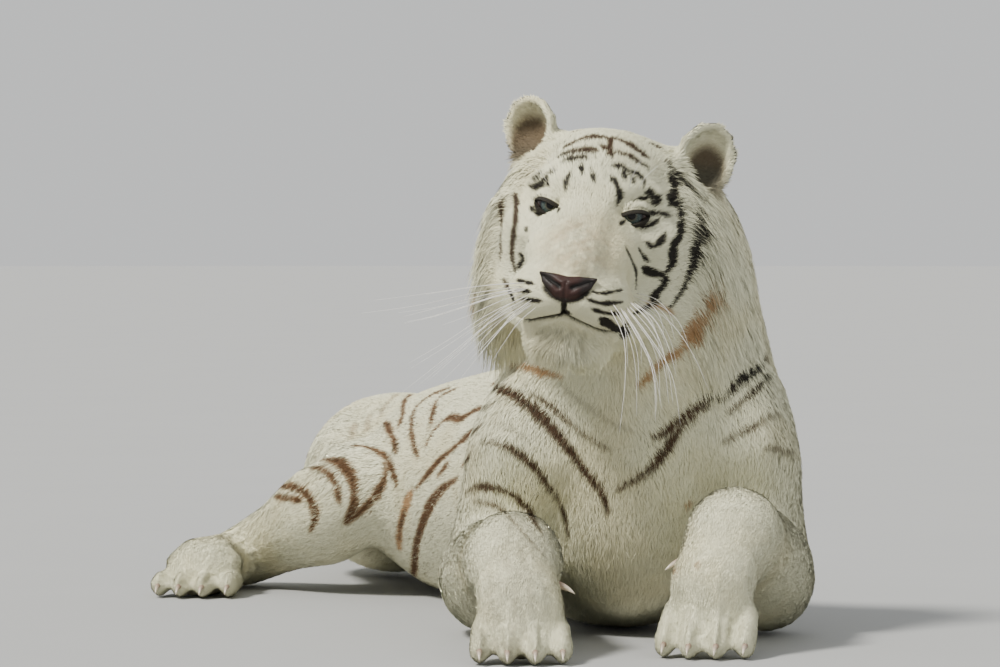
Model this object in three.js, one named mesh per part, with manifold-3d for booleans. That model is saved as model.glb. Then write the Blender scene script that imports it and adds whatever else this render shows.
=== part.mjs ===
// A white tiger as a still, life-size model. It lies on a flat floor with its forelegs stretched out in
// front, its head up and turned a little to its right, and its hips rolled so that the right hind leg lies
// out to the side.
// Millimetres, +Z up. The chest faces -Y and +X is the animal's left. The floor is z = 0.
//
// Each part of the body is a closed loft: rays leave a spine inside the part and stop at the surface of a
// smooth shape, which is made of rounded bones and eggs of flesh. A later part is cut by those before it.
import * as THREE from 'three';
import Module from 'manifold-3d';
import { mergeVertices } from 'three/addons/utils/BufferGeometryUtils.js';

const wasm = await Module();
wasm.setup();

// ---- driving dimensions ---------------------------------------------------------------------
const headAt = [-44, 0, 556]; // the point between the eyes
const headTurn = { yaw: 8, roll: 7.5, pitch: 3 }; // degrees: to its right, left side down, nose down
const eyeSpread = 53; // half the distance between the eyes
const eyeRadius = 19;
const gap = 0.4; // between neighbouring parts

const coat = { color: 0xe9e4d6, roughness: 0.9, metalness: 0 };
const material = {
  coat: new THREE.MeshStandardMaterial(coat),
  eye: new THREE.MeshStandardMaterial({ color: 0x5f7f86, roughness: 0.1, metalness: 0 }),
  nose: new THREE.MeshStandardMaterial({ color: 0x6b3a30, roughness: 0.5, metalness: 0 }),
  claw: new THREE.MeshStandardMaterial({ color: 0xcfc2a4, roughness: 0.4, metalness: 0 }),
};

// ---- smooth shapes: each is a function of (x, y, z) that is negative inside -----------------
function bone([ax, ay, az], [bx, by, bz], startRadius, endRadius) {
  const dx = bx - ax;
  const dy = by - ay;
  const dz = bz - az;
  const lengthSquared = dx * dx + dy * dy + dz * dz;
  return (x, y, z) => {
    const along = ((x - ax) * dx + (y - ay) * dy + (z - az) * dz) / lengthSquared;
    const t = Math.min(1, Math.max(0, along));
    const off = Math.hypot(x - ax - dx * t, y - ay - dy * t, z - az - dz * t);
    return off - startRadius - (endRadius - startRadius) * t;
  };
}

// An ellipsoid. turn holds the degrees about x, y and z.
function egg(centre, [rx, ry, rz], turn = [0, 0, 0]) {
  const angles = turn.map(THREE.MathUtils.degToRad);
  const m = new THREE.Matrix4().makeRotationFromEuler(new THREE.Euler(...angles, 'ZYX'));
  const e = m.elements;
  return (x, y, z) => {
    const px = x - centre[0];
    const py = y - centre[1];
    const pz = z - centre[2];
    const ux = (e[0] * px + e[1] * py + e[2] * pz) / rx;
    const uy = (e[4] * px + e[5] * py + e[6] * pz) / ry;
    const uz = (e[8] * px + e[9] * py + e[10] * pz) / rz;
    const scaled = Math.hypot(ux, uy, uz);
    return (scaled * (scaled - 1)) / (Math.hypot(ux / rx, uy / ry, uz / rz) + 1e-9);
  };
}

function join(softness, ...shapes) {
  return (x, y, z) => {
    let d = shapes[0](x, y, z);
    for (let i = 1; i < shapes.length; i++) {
      const other = shapes[i](x, y, z);
      const h = Math.max(softness - Math.abs(d - other), 0) / softness;
      d = Math.min(d, other) - (h * h * softness) / 4;
    }
    return d;
  };
}

const bothSides = (shape) => (x, y, z) => shape(Math.abs(x), y, z);

// A shape given in a frame of its own, seen from the world.
function placed(matrix, shape) {
  const e = matrix.clone().invert().elements;
  return (x, y, z) =>
    shape(
      e[0] * x + e[4] * y + e[8] * z + e[12],
      e[1] * x + e[5] * y + e[9] * z + e[13],
      e[2] * x + e[6] * y + e[10] * z + e[14],
    );
}

// ---- lofts ----------------------------------------------------------------------------------
function surfacePoint(shape, origin, direction, reach, grow) {
  const limit = reach + grow;
  let far = 0;
  for (let step = 0; step < 90 && far < limit; step++) {
    const d = shape(
      origin.x + direction.x * far,
      origin.y + direction.y * far,
      origin.z + direction.z * far,
    ) - grow;
    if (d > -0.02) break;
    far += Math.max(-d * 0.75, 0.05);
  }
  return origin.clone().addScaledVector(direction, Math.max(1, Math.min(far, limit)));
}

// spine: points inside the part, first to last. A round end fans its rays out, and a flat one is cut square
// to facing, or to the spine. With an axis, every ring lies square to it. side is the first ray of each
// ring, and place(t) spreads the rings along the spine.
function loft(shape, spine, options, grow = 0) {
  const { rings, sides, side = [1, 0, 0], reach = 400, round = [false, false], cap = 4 } = options;
  const { place = (t) => t } = options;
  const curve = new THREE.CatmullRomCurve3(spine.map((p) => new THREE.Vector3(...p)));
  const facing = (options.facing || [options.axis, options.axis]).map((f, i) =>
    f ? new THREE.Vector3(...f).normalize() : curve.getTangentAt(i),
  );
  const stations = [];
  const capAngle = (j) => (Math.PI / 2) * ((j + 1) / (cap + 1));
  if (round[0]) for (let j = 0; j < cap; j++) stations.push([0, Math.PI - capAngle(j)]);
  for (let j = 0; j < rings; j++) stations.push([place(j / (rings - 1)), Math.PI / 2]);
  if (round[1]) for (let j = cap - 1; j >= 0; j--) stations.push([1, capAngle(j)]);

  const points = [];
  const end = (t, sign) => {
    const origin = curve.getPointAt(t);
    const out = facing[t].clone().multiplyScalar(sign);
    return round[t]
      ? surfacePoint(shape, origin, out, reach, grow)
      : origin.clone().addScaledVector(out, grow);
  };
  points.push(end(0, -1));
  for (const [t, tilt] of stations) {
    const axis = curve.getTangentAt(t);
    if (t < 0.5) axis.lerp(facing[0], 1 - 2 * t);
    else axis.lerp(facing[1], 2 * t - 1);
    if (options.axis) axis.set(...options.axis);
    axis.normalize();
    const u = new THREE.Vector3(...side);
    u.addScaledVector(axis, -axis.dot(u)).normalize();
    const v = new THREE.Vector3().crossVectors(axis, u);
    const origin = curve.getPointAt(t);
    if (t === 0 && !round[0]) origin.addScaledVector(facing[0], -grow);
    if (t === 1 && !round[1]) origin.addScaledVector(facing[1], grow);
    for (let k = 0; k < sides; k++) {
      const a = (2 * Math.PI * k) / sides;
      const direction = u.clone().multiplyScalar(Math.cos(a) * Math.sin(tilt));
      direction.addScaledVector(v, Math.sin(a) * Math.sin(tilt)).addScaledVector(axis, Math.cos(tilt));
      points.push(surfacePoint(shape, origin, direction, reach, grow));
    }
  }
  points.push(end(1, 1));
  return closedTube(points, stations.length, sides);
}

// points: a pole, then rings of sides points each, then the other pole.
function closedTube(points, ringCount, sides) {
  const faces = [];
  const last = points.length - 1;
  for (let k = 0; k < sides; k++) {
    const next = (k + 1) % sides;
    faces.push(0, 1 + next, 1 + k);
    for (let j = 0; j < ringCount - 1; j++) {
      const [a, b] = [1 + j * sides + k, 1 + j * sides + next];
      const [c, d] = [a + sides, b + sides];
      if (points[b].distanceTo(points[c]) < points[a].distanceTo(points[d])) faces.push(a, b, c, b, d, c);
      else faces.push(a, b, d, a, d, c);
    }
    faces.push(last, last - sides + k, last - sides + next);
  }
  const geometry = new THREE.BufferGeometry().setFromPoints(points);
  geometry.setIndex(faces);
  return geometry;
}

// ---- solids ---------------------------------------------------------------------------------
function solidOf(geometry) {
  const bare = geometry.clone();
  bare.deleteAttribute('normal');
  bare.deleteAttribute('uv');
  const merged = mergeVertices(bare, 1e-3);
  return new wasm.Manifold(
    new wasm.Mesh({
      numProp: 3,
      vertProperties: new Float32Array(merged.attributes.position.array),
      triVerts: new Uint32Array(merged.index.array),
    }),
  );
}

function geometryOf(solid) {
  const { vertProperties, triVerts, numProp } = solid.getMesh();
  const geometry = new THREE.BufferGeometry();
  const count = vertProperties.length / numProp;
  const positions = new Float32Array(count * 3);
  for (let i = 0; i < count; i++) positions.set(vertProperties.subarray(i * numProp, i * numProp + 3), i * 3);
  geometry.setAttribute('position', new THREE.BufferAttribute(positions, 3));
  geometry.setIndex(new THREE.BufferAttribute(triVerts, 1));
  geometry.computeVertexNormals();
  return geometry;
}

const tiger = new THREE.Group();
const cutters = [];

function overlaps(a, b) {
  const one = a.boundingBox();
  const two = b.boundingBox();
  return [0, 1, 2].every((i) => one.min[i] < two.max[i] && two.min[i] < one.max[i]);
}

// A block that fills everything behind a plane, and grow beyond it.
function blockBehind({ at, facing }, grow) {
  const size = 4000;
  const block = new THREE.BoxGeometry(size, size, size).translate(0, 0, grow - size / 2);
  const turn = new THREE.Quaternion().setFromUnitVectors(
    new THREE.Vector3(0, 0, 1),
    new THREE.Vector3(...facing).normalize(),
  );
  return solidOf(block.applyQuaternion(turn).translate(...at));
}

const underFloor = blockBehind({ at: [0, 0, 0], facing: [0, 0, 1] }, 0);

// Adds one part. build(grow) gives its closed geometry, and trim(solid, grow) cuts it at planes. Grown by
// the gap, it is what the part cuts away from later ones.
function addPart(name, finish, build, trim = (solid) => solid) {
  let solid = trim(solidOf(build(0)), 0);
  if (solid.boundingBox().min[2] < 0) solid = solid.subtract(underFloor);
  for (const cutter of cutters) if (overlaps(solid, cutter)) solid = solid.subtract(cutter);
  const pieces = solid.decompose().sort((a, b) => b.volume() - a.volume());
  const mesh = new THREE.Mesh(geometryOf(pieces[0]), material[finish]);
  mesh.name = name;
  tiger.add(mesh);
  cutters.push(trim(solidOf(build(gap)), gap).add(pieces[0]));
}

// ---- head -----------------------------------------------------------------------------------
const degrees = THREE.MathUtils.degToRad;
const headMatrix = new THREE.Matrix4().makeRotationFromEuler(
  new THREE.Euler(degrees(headTurn.pitch), degrees(headTurn.roll), degrees(-headTurn.yaw), 'ZYX'),
);
headMatrix.setPosition(...headAt);

// In the head's own frame the origin lies between the eyes, -y is forward and x is the animal's left.
const fromHead = (p) => new THREE.Vector3(...p).applyMatrix4(headMatrix).toArray();
const turnedWithHead = (p) => new THREE.Vector3(...p).transformDirection(headMatrix).toArray();

const headShape = placed(
  headMatrix,
  bothSides(
    join(
      24,
      egg([0, 100, 16], [94, 104, 92]), // braincase
      egg([0, 40, 26], [70, 56, 56]), // forehead
      egg([54, 16, 27], [34, 24, 14], [0, 14, 0]), // brow
      bone([13, 6, 0], [11, -104, -66], 33, 28), // bridge of the nose
      egg([40, -34, -58], [34, 60, 38]), // side of the muzzle
      egg([72, 30, -36], [38, 46, 30]), // cheekbone
      egg([74, 74, -58], [52, 78, 76]), // cheek
      egg([37, -98, -106], [43, 48, 38]), // whisker pad
      egg([0, -124, -92], [31, 24, 28]), // nose tip
      egg([0, -84, -166], [51, 43, 35]), // chin
      bone([24, -66, -158], [76, 36, -118], 30, 46), // jaw
      egg([0, 60, -118], [88, 84, 70]), // throat
      bone([0, 70, -40], [0, -76, -100], 66, 46), // between the jaws
      egg([90, 118, 50], [36, 34, 40]), // root of the ear
      bone([110, 88, -12], [114, 84, -142], 40, 37), // long hair of the cheek
    ),
  ),
);
const headSpine = [[0, -84, -100], [0, -16, -64], [0, 60, -40], [0, 165, -30]].map(fromHead);
const headAxis = turnedWithHead([0, 1, 0]);

// The head ends at two planes: one behind the ears and one under the chin.
const nape = { at: fromHead([0, 132, 0]), facing: turnedWithHead([0, 1, -0.25]) };
const underChin = { at: fromHead([0, -84, -204]), facing: turnedWithHead([0, 0.1, -1]) };
// The rings lie closest together at the slope of the face.
const faceSlope = { at: 0.34, strength: 0.1 };
const closerRings = (t) => {
  const wave = (u) => faceSlope.strength * Math.sin(2 * Math.PI * (u - faceSlope.at));
  return t - wave(t) + wave(0);
};
const headRegion = (grow) => blockBehind(nape, grow).intersect(blockBehind(underChin, grow));

function addEye(word, side) {
  addPart('eye_' + word, 'eye', (grow) => {
    const ball = new THREE.SphereGeometry(eyeRadius + grow, 8, 6);
    return ball.rotateX(Math.PI / 2).translate(side * eyeSpread, 1, 0).applyMatrix4(headMatrix);
  });
}

function addNose() {
  const leather = join(8, egg([0, -140, -82], [36, 12, 12]), egg([0, -141, -97], [17, 12, 17]));
  const shape = placed(headMatrix, leather);
  addPart('nose', 'nose', (grow) =>
    loft(shape, [[0, -143, -92], [0, -137, -92]].map(fromHead), {
      rings: 2, sides: 12, round: [true, true], cap: 2, side: turnedWithHead([1, 0, 0]),
    }, grow),
  );
}

// A cup that opens forwards and outwards. What it cuts away from the head is the filled cup.
// The left one is pricked wider and lower, as the head leans that way.
const ear = { rim: 40, depth: 38, wall: 9, up: 12, out: 26, lean: 16 };
const earPose = {
  right: { at: [-111, 104, 86], size: [1, 1, 1.17] },
  left: { at: [126, 104, 76], size: [1.06, 1, 1.32] },
};
function addEar(word, side) {
  const steps = 4;
  const arc = (radius, depth) =>
    Array.from({ length: steps + 1 }, (_, i) => {
      const a = (Math.PI / 2) * (i / steps);
      return new THREE.Vector2(i ? radius * Math.sin(a) : 0, -depth * Math.cos(a));
    });
  const cup = (profile) => {
    const shape = new THREE.LatheGeometry(profile, 10).rotateX(Math.PI).scale(...earPose[word].size);
    shape.rotateX(degrees(-ear.up)).rotateZ(degrees(ear.out * side)).rotateY(degrees(ear.lean * side));
    return shape.translate(...earPose[word].at).applyMatrix4(headMatrix);
  };
  const inside = arc(ear.rim - ear.wall, ear.depth - ear.wall).reverse();
  addPart('ear_' + word, 'coat', (grow) =>
    cup([...arc(ear.rim + grow, ear.depth + grow), ...(grow ? [new THREE.Vector2(0, grow)] : inside)]),
  );
}

// ---- neck and trunk -------------------------------------------------------------------------
const trunkShape = join(
  60,
  bone([24, 168, 488], [20, 218, 350], 146, 183), // neck
  bone([6, 150, 380], [6, 105, 120], 116, 96), // breast
  egg([-10, 275, 215], [160, 250, 238], [0, 0, 14]), // ribs
  bone([-70, 440, 172], [-235, 800, 142], 166, 150), // belly
  bone([-95, 520, 244], [-300, 980, 180], 104, 98), // loins
  egg([-345, 1090, 142], [140, 204, 142], [0, 0, 18]), // rump
);
const headAndNeck = join(36, headShape, trunkShape);
const collar = { at: [0, 215, 325], facing: [0, 0.35, -1] };
const neckSpine = [[-6, 150, 560], [0, 190, 420], collar.at];
const backbone = [[4, 60, 180], [-20, 280, 205], [-92, 490, 190]];
const waist = [[-92, 490, 190], [-175, 690, 178], [-258, 870, 165]];
const rump = [[-258, 870, 165], [-325, 1030, 158], [-375, 1190, 140]];
const chestEnd = [-0.4, 1, 0];
const waistEnd = [-0.42, 1, 0];

function addTrunk() {
  addPart('neck', 'coat',
    (grow) =>
      loft(headAndNeck, neckSpine, {
        rings: 6, sides: 16, cap: 2, round: [true, false], reach: 260, axis: collar.facing,
      }, grow),
    (solid, grow) => solid.subtract(headRegion(gap - grow)),
  );
  addPart('chest', 'coat',
    (grow) =>
      loft(trunkShape, backbone, {
        rings: 6, sides: 16, reach: 300, round: [true, false], cap: 2, facing: [[0, 1, 0], chestEnd],
      }, grow),
    (solid, grow) => solid.subtract(blockBehind(collar, gap - grow)),
  );
  addPart('abdomen', 'coat', (grow) =>
    loft(trunkShape, waist, { rings: 5, sides: 16, facing: [chestEnd, waistEnd] }, grow),
  );
  addPart('pelvis', 'coat', (grow) =>
    loft(trunkShape, rump, {
      rings: 5, sides: 16, round: [false, true], cap: 2, facing: [waistEnd, null],
    }, grow),
  );
}

const tailPath = new THREE.CatmullRomCurve3(
  [
    [-380, 1200, 160], [-414, 1310, 92], [-404, 1440, 40], [-304, 1548, 34],
    [-130, 1566, 31], [44, 1500, 28], [160, 1370, 25], [204, 1220, 22],
  ].map((p) => new THREE.Vector3(...p)),
);
const tailRadius = [46, 27];
const tailCuts = [0, 0.28, 0.64, 1];

function addTail() {
  const pieces = 24;
  const radiusAt = (t) => THREE.MathUtils.lerp(tailRadius[0], tailRadius[1], t);
  const bones = [];
  for (let i = 0; i < pieces; i++) {
    const [a, b] = [i / pieces, (i + 1) / pieces];
    const ends = [a, b].map((t) => tailPath.getPointAt(t).toArray());
    bones.push(bone(...ends, radiusAt(a), radiusAt(b)));
  }
  const shape = join(6, ...bones);
  ['tail_root', 'tail_middle', 'tail_tip'].forEach((name, i) => {
    const spine = [];
    for (let j = 0; j <= 6; j++) {
      const t = THREE.MathUtils.lerp(tailCuts[i], tailCuts[i + 1], j / 6);
      spine.push(tailPath.getPointAt(t).toArray());
    }
    const facing = [tailCuts[i], tailCuts[i + 1]].map((t) => tailPath.getTangentAt(t).toArray());
    addPart(name, 'coat', (grow) =>
      loft(shape, spine, {
        rings: 7, sides: 8, reach: 60, round: [false, i === 2], cap: 2, side: [0, 0, 1], facing,
      }, grow),
    );
  });
}

// ---- legs -----------------------------------------------------------------------------------
// Joints from the body outwards, with the radius of the leg at each of them.
const forelegs = {
  right: {
    blade: [-72, 236, 336], shoulder: [-106, 118, 258], upper: [-122, 170, 226], elbow: [-178, 150, 66],
    wrist: [-142, -140, 118],
    knuckles: [-132, -226, 70], toes: [-130, -300, 19], inner: 1,
  },
  left: {
    blade: [118, 236, 342], shoulder: [130, 118, 264], upper: [148, 170, 232], elbow: [184, 150, 66],
    wrist: [136, -80, 146],
    knuckles: [106, -156, 92], toes: [94, -216, 19], inner: -1,
  },
};
const hindLegs = {
  right: {
    hip: [-382, 1040, 150], knee: [-366, 726, 150], hock: [-560, 905, 44],
    knuckles: [-604, 752, 42], toes: [-616, 682, 19],
  },
  left: {
    hip: [-266, 1080, 142], knee: [-160, 790, 128], hock: [-124, 1050, 44],
    knuckles: [-98, 892, 42], toes: [-92, 822, 19],
  },
};
const foreGirth = { blade: 80, shoulder: 92, elbow: 68, forearm: 74, wrist: 60, paw: 48 };
const hindGirth = { hip: 104, knee: 72, shank: 75, hock: 48, foot: 40 };
const toe = { wide: 14.4, high: 22, long: 27, pitch: 34, outerBack: 14 };
const claw = { root: 5.5, tip: 1.5, out: 20, down: 12 };
const dewclaw = { root: 8, tip: 2, place: 0.55, aside: 46, out: 30, down: 16 };

// The turn of an egg whose y axis lies along a direction.
function along(from, to) {
  const d = new THREE.Vector3(...to).sub(new THREE.Vector3(...from)).normalize();
  return [THREE.MathUtils.radToDeg(Math.asin(d.z)), 0, THREE.MathUtils.radToDeg(Math.atan2(-d.x, d.y))];
}

function addToes(word, leg) {
  const knuckles = new THREE.Vector3(...leg.knuckles);
  const ends = new THREE.Vector3(...leg.toes);
  const flat = ends.clone().sub(knuckles).setZ(0).normalize();
  const across = new THREE.Vector3(-flat.y, flat.x, 0);
  for (let i = 0; i < 4; i++) {
    const place = i - 1.5;
    const outer = Math.abs(place) > 1;
    const shift = across.clone().multiplyScalar(place * toe.pitch);
    shift.addScaledVector(flat, outer ? -toe.outerBack : 0);
    const root = knuckles.clone().lerp(ends, 0.25).add(shift);
    root.z -= outer ? 14 : 6;
    const end = ends.clone().add(shift);
    const middle = root.clone().lerp(end, 0.4);
    const name = `${word}_${i + 1}`;
    const clawRoot = end.clone().addScaledVector(flat, toe.long - 10);
    const clawTip = clawRoot.clone().addScaledVector(flat, claw.out);
    clawTip.z -= claw.down;
    const clawPath = [clawRoot.toArray(), clawTip.toArray()];
    addPart('claw_' + name, 'claw', (grow) =>
      loft(bone(...clawPath, claw.root, claw.tip), clawPath, {
        rings: 2, sides: 4, round: [false, false], side: [0, 0, 1],
      }, grow),
    );
    const half = root.distanceTo(end) / 2;
    const shape = join(
      8,
      egg(middle.toArray(), [toe.wide - 1, half + 10, toe.high - 3], along(root.toArray(), end.toArray())),
      egg(end.toArray(), [toe.wide, toe.long, toe.high], along([0, 0, 0], flat.toArray())),
    );
    addPart('toe_' + name, 'coat', (grow) =>
      loft(shape, [root.toArray(), end.toArray()], {
        rings: 2, sides: 6, round: [false, true], cap: 2, side: [0, 0, 1],
      }, grow),
    );
  }
}

// The foot from the wrist or the hock to the roots of the toes, with its pad on the floor.
function footShape(leg, from, girth, endGirth) {
  const turn = along(from, leg.knuckles);
  const pad = new THREE.Vector3(...leg.knuckles).lerp(new THREE.Vector3(...leg.toes), 0.4);
  pad.z = 28;
  return join(
    16,
    bone(from, leg.knuckles, girth, endGirth),
    egg(leg.knuckles, [65, 48, 42], turn),
    egg(pad.toArray(), [46, 38, 34], [0, 0, turn[2]]),
  );
}

function addForeleg(word) {
  const leg = forelegs[word];
  const g = foreGirth;
  const middle = new THREE.Vector3(...leg.elbow).lerp(new THREE.Vector3(...leg.wrist), 0.35).toArray();
  const shape = join(
    30,
    bone(leg.elbow, middle, g.elbow, g.forearm),
    bone(middle, leg.wrist, g.forearm, g.wrist),
    footShape(leg, leg.wrist, g.wrist, g.paw),
  );
  const wristFacing = new THREE.Vector3(...leg.knuckles).sub(new THREE.Vector3(...leg.elbow)).toArray();
  addToes(word + '_fore', leg);
  const inward = new THREE.Vector3(leg.inner, 0, 0);
  const dewRoot = new THREE.Vector3(...leg.wrist).lerp(new THREE.Vector3(...leg.knuckles), dewclaw.place);
  dewRoot.addScaledVector(inward, dewclaw.aside);
  const dewTip = dewRoot.clone().addScaledVector(inward, dewclaw.out);
  dewTip.add(new THREE.Vector3(0, -dewclaw.out / 2, -dewclaw.down));
  const dewPath = [dewRoot.toArray(), dewTip.toArray()];
  addPart('dewclaw_' + word, 'claw', (grow) =>
    loft(bone(...dewPath, dewclaw.root, dewclaw.tip), dewPath, { rings: 2, sides: 6, side: [0, 0, 1] }, grow),
  );
  addPart('paw_' + word, 'coat', (grow) =>
    loft(shape, [leg.wrist, leg.knuckles], {
      rings: 4, sides: 10, round: [false, true], cap: 2, reach: 90, side: [0, 0, 1],
      facing: [wristFacing, null],
    }, grow),
  );
  addPart('forearm_' + word, 'coat', (grow) =>
    loft(shape, [leg.elbow, leg.wrist], {
      rings: 5, sides: 12, round: [true, false], cap: 2, side: [0, 0, 1], facing: [null, wristFacing],
    }, grow),
  );
  const back = [leg.elbow[0] * 0.82, leg.elbow[1] + 70, 190];
  const arm = join(
    50,
    egg(leg.blade, [60, 104, 116], [-28, 0, 0]),
    bone(leg.blade, leg.shoulder, g.blade, g.shoulder),
    bone(leg.shoulder, leg.elbow, g.shoulder, g.elbow),
    egg(back, [62, 84, 100]),
  );
  addPart('upper_arm_' + word, 'coat', (grow) =>
    loft(arm, [leg.blade, leg.upper, leg.elbow], {
      rings: 5, sides: 10, round: [true, true], cap: 2, side: [1, 0, 0],
    }, grow),
  );
}

function addHindLeg(word) {
  const leg = hindLegs[word];
  const g = hindGirth;
  addToes(word + '_hind', leg);
  addPart('foot_' + word, 'coat', (grow) =>
    loft(footShape(leg, leg.hock, g.hock - 4, g.foot), [leg.hock, leg.knuckles], {
      rings: 4, sides: 9, round: [true, true], cap: 1, reach: 80, side: [0, 0, 1],
    }, grow),
  );
  const calf = new THREE.Vector3(...leg.knee).lerp(new THREE.Vector3(...leg.hock), 0.3).toArray();
  const shank = join(40, bone(leg.knee, leg.hock, g.knee, g.hock), egg(calf, [g.shank, g.shank, g.shank]));
  addPart('shank_' + word, 'coat', (grow) =>
    loft(shank, [leg.knee, leg.hock], {
      rings: 4, sides: 10, round: [true, true], cap: 2, side: [0, 0, 1],
    }, grow),
  );
  addPart('thigh_' + word, 'coat', (grow) =>
    loft(bone(leg.hip, leg.knee, g.hip, g.knee - 4), [leg.hip, leg.knee], {
      rings: 5, sides: 14, round: [true, true], cap: 2, side: [0, 0, 1],
    }, grow),
  );
}

// ---- assembly -------------------------------------------------------------------------------
addEye('right', -1);
addEye('left', 1);
addNose();
addEar('right', -1);
addEar('left', 1);
addPart('head', 'coat',
  (grow) =>
    loft(headAndNeck, headSpine, {
      rings: 16, sides: 24, side: turnedWithHead([1, 0, 0]), round: [true, false], cap: 3, reach: 260,
      axis: headAxis, place: closerRings,
    }, grow),
  (solid, grow) => solid.intersect(headRegion(grow)),
);
addTrunk();
addTail();
addForeleg('right');
addForeleg('left');
addHindLeg('right');
addHindLeg('left');

// The origin goes to the middle of the footprint, on the floor.
const box = new THREE.Box3().setFromObject(tiger);
tiger.position.set(-(box.min.x + box.max.x) / 2, -(box.min.y + box.max.y) / 2, -box.min.z);
tiger.updateMatrixWorld(true);
export default tiger;
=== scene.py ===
# A white tiger as a still, life-size museum model: one skin, with a coat of tufts over it, eyes, nose, claws
# and whiskers. Metres, +Z up. The chest faces -Y, and +X is the animal's left.
import math
import bmesh
import bpy
import numpy as np
from mathutils import Matrix, Vector
from mathutils.bvhtree import BVHTree
from mathutils.kdtree import KDTree


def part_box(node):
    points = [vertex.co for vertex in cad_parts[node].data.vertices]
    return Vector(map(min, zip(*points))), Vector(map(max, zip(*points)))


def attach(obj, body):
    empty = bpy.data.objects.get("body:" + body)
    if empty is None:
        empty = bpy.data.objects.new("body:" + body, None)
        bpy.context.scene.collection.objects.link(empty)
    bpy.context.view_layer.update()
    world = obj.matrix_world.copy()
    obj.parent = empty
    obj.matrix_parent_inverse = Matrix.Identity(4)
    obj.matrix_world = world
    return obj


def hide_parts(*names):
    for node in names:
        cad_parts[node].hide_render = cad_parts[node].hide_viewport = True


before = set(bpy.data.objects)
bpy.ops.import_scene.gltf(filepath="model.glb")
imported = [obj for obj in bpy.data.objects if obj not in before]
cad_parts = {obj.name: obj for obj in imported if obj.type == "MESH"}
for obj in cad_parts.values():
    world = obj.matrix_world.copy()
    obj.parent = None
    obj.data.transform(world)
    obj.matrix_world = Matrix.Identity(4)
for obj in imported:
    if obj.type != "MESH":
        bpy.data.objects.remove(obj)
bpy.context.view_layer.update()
mm = 0.001


def boxMiddle(node):
    low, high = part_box(node)
    return (Vector(low) + Vector(high)) / 2


# The head's own frame: its origin lies between the eyes, -y is forward and x is the animal's left.
headPose = {"yaw": -8, "roll": 7.5, "pitch": 3}
eyeMiddle = (boxMiddle("eye_left") + boxMiddle("eye_right")) / 2
headTurn = (
    Matrix.Rotation(math.radians(headPose["yaw"]), 3, "Z")
    @ Matrix.Rotation(math.radians(headPose["roll"]), 3, "Y")
    @ Matrix.Rotation(math.radians(headPose["pitch"]), 3, "X")
)
headAxes = np.array(headTurn)
eyePoint = np.array(eyeMiddle)
viewPoint = eyePoint + np.array([0, -6, 0])  # where the camera stands, 6 m in front of the eyes
modelOrigin = eyePoint - np.array([-44, 0, 556]) * mm  # of the joints below, in millimetres


def toHead(points):
    return (np.asarray(points) - eyePoint) @ headAxes / mm


def fromHead(points):
    return np.asarray(points, float) * mm @ headAxes.T + eyePoint


def fromModel(points):
    return np.asarray(points, float) * mm + modelOrigin


def smoothstep(low, high, value):
    t = np.clip((value - low) / (high - low), 0, 1)
    return t * t * (3 - 2 * t)


def falloff(away, radius):
    # 1 on a stroke's line, dying away over its radius
    return np.exp(-(away / radius) ** 2)


def unit(vectors):
    return vectors / np.maximum(np.linalg.norm(vectors, axis=-1, keepdims=True), 1e-9)


def wobble(points, size, seed, octaves=3):
    # smooth uneven values from -1 to 1, about size metres across
    total = np.zeros(len(points))
    rng = np.random.default_rng(seed)
    for octave in range(octaves):
        waves = rng.normal(size=(5, 3)) * (2.2 ** octave) * 2.4 / size
        turns = rng.uniform(0, 6.283, 5)
        total += np.sin(points @ waves.T + turns).sum(axis=1) / 5 * 0.62 ** octave
    return np.clip(total * 1.4, -1, 1)


def meshFrom(name, points, faces):
    mesh = bpy.data.meshes.new(name)
    faces = np.asarray(faces, np.int32)
    count, sides = faces.shape
    mesh.vertices.add(len(points))
    mesh.vertices.foreach_set("co", np.asarray(points, np.float32).ravel())
    mesh.loops.add(count * sides)
    mesh.loops.foreach_set("vertex_index", faces.ravel())
    mesh.polygons.add(count)
    mesh.polygons.foreach_set("loop_start", np.arange(0, count * sides, sides, dtype=np.int32))
    mesh.update(calc_edges=True)
    mesh.shade_smooth()
    return mesh


def addObject(name, mesh):
    obj = bpy.data.objects.new(name, mesh)
    bpy.context.scene.collection.objects.link(obj)
    return obj


def readPoints(mesh):
    points = np.empty(len(mesh.vertices) * 3, np.float32)
    mesh.vertices.foreach_get("co", points)
    return points.reshape(-1, 3).astype(float)


def writePoints(mesh, points):
    mesh.vertices.foreach_set("co", points.astype(np.float32).ravel())
    mesh.update()


def readNormals(mesh):
    normals = np.empty(len(mesh.vertices) * 3, np.float32)
    mesh.vertex_normals.foreach_get("vector", normals)
    return normals.reshape(-1, 3).astype(float)


def readEdges(mesh):
    edges = np.empty(len(mesh.edges) * 2, np.int32)
    mesh.edges.foreach_get("vertices", edges)
    return edges.reshape(-1, 2)


def readTriangles(mesh):
    corners = np.empty(len(mesh.polygons) * 3, np.int32)
    mesh.polygons.foreach_get("vertices", corners)
    return corners.reshape(-1, 3)


def relax(values, edges, strength, rounds):
    # each point moves towards the mean of its neighbours by its own strength
    a, b = edges.T
    n = len(values)
    count = np.maximum(np.bincount(a, minlength=n) + np.bincount(b, minlength=n), 1)[:, None]
    strength = np.broadcast_to(strength, n)[:, None]
    columns = values.shape[1]
    for _ in range(rounds):
        total = [np.bincount(a, values[b, k], n) + np.bincount(b, values[a, k], n) for k in range(columns)]
        values = values + strength * (np.stack(total, axis=1) / count - values)
    return values


def withModifier(obj, kind, **settings):
    modifier = obj.modifiers.new(kind.lower(), kind)
    for key, value in settings.items():
        setattr(modifier, key, value)
    made = bpy.data.meshes.new_from_object(obj.evaluated_get(bpy.context.evaluated_depsgraph_get()))
    obj.modifiers.clear()
    old, obj.data = obj.data, made
    bpy.data.meshes.remove(old)
    return made


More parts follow.
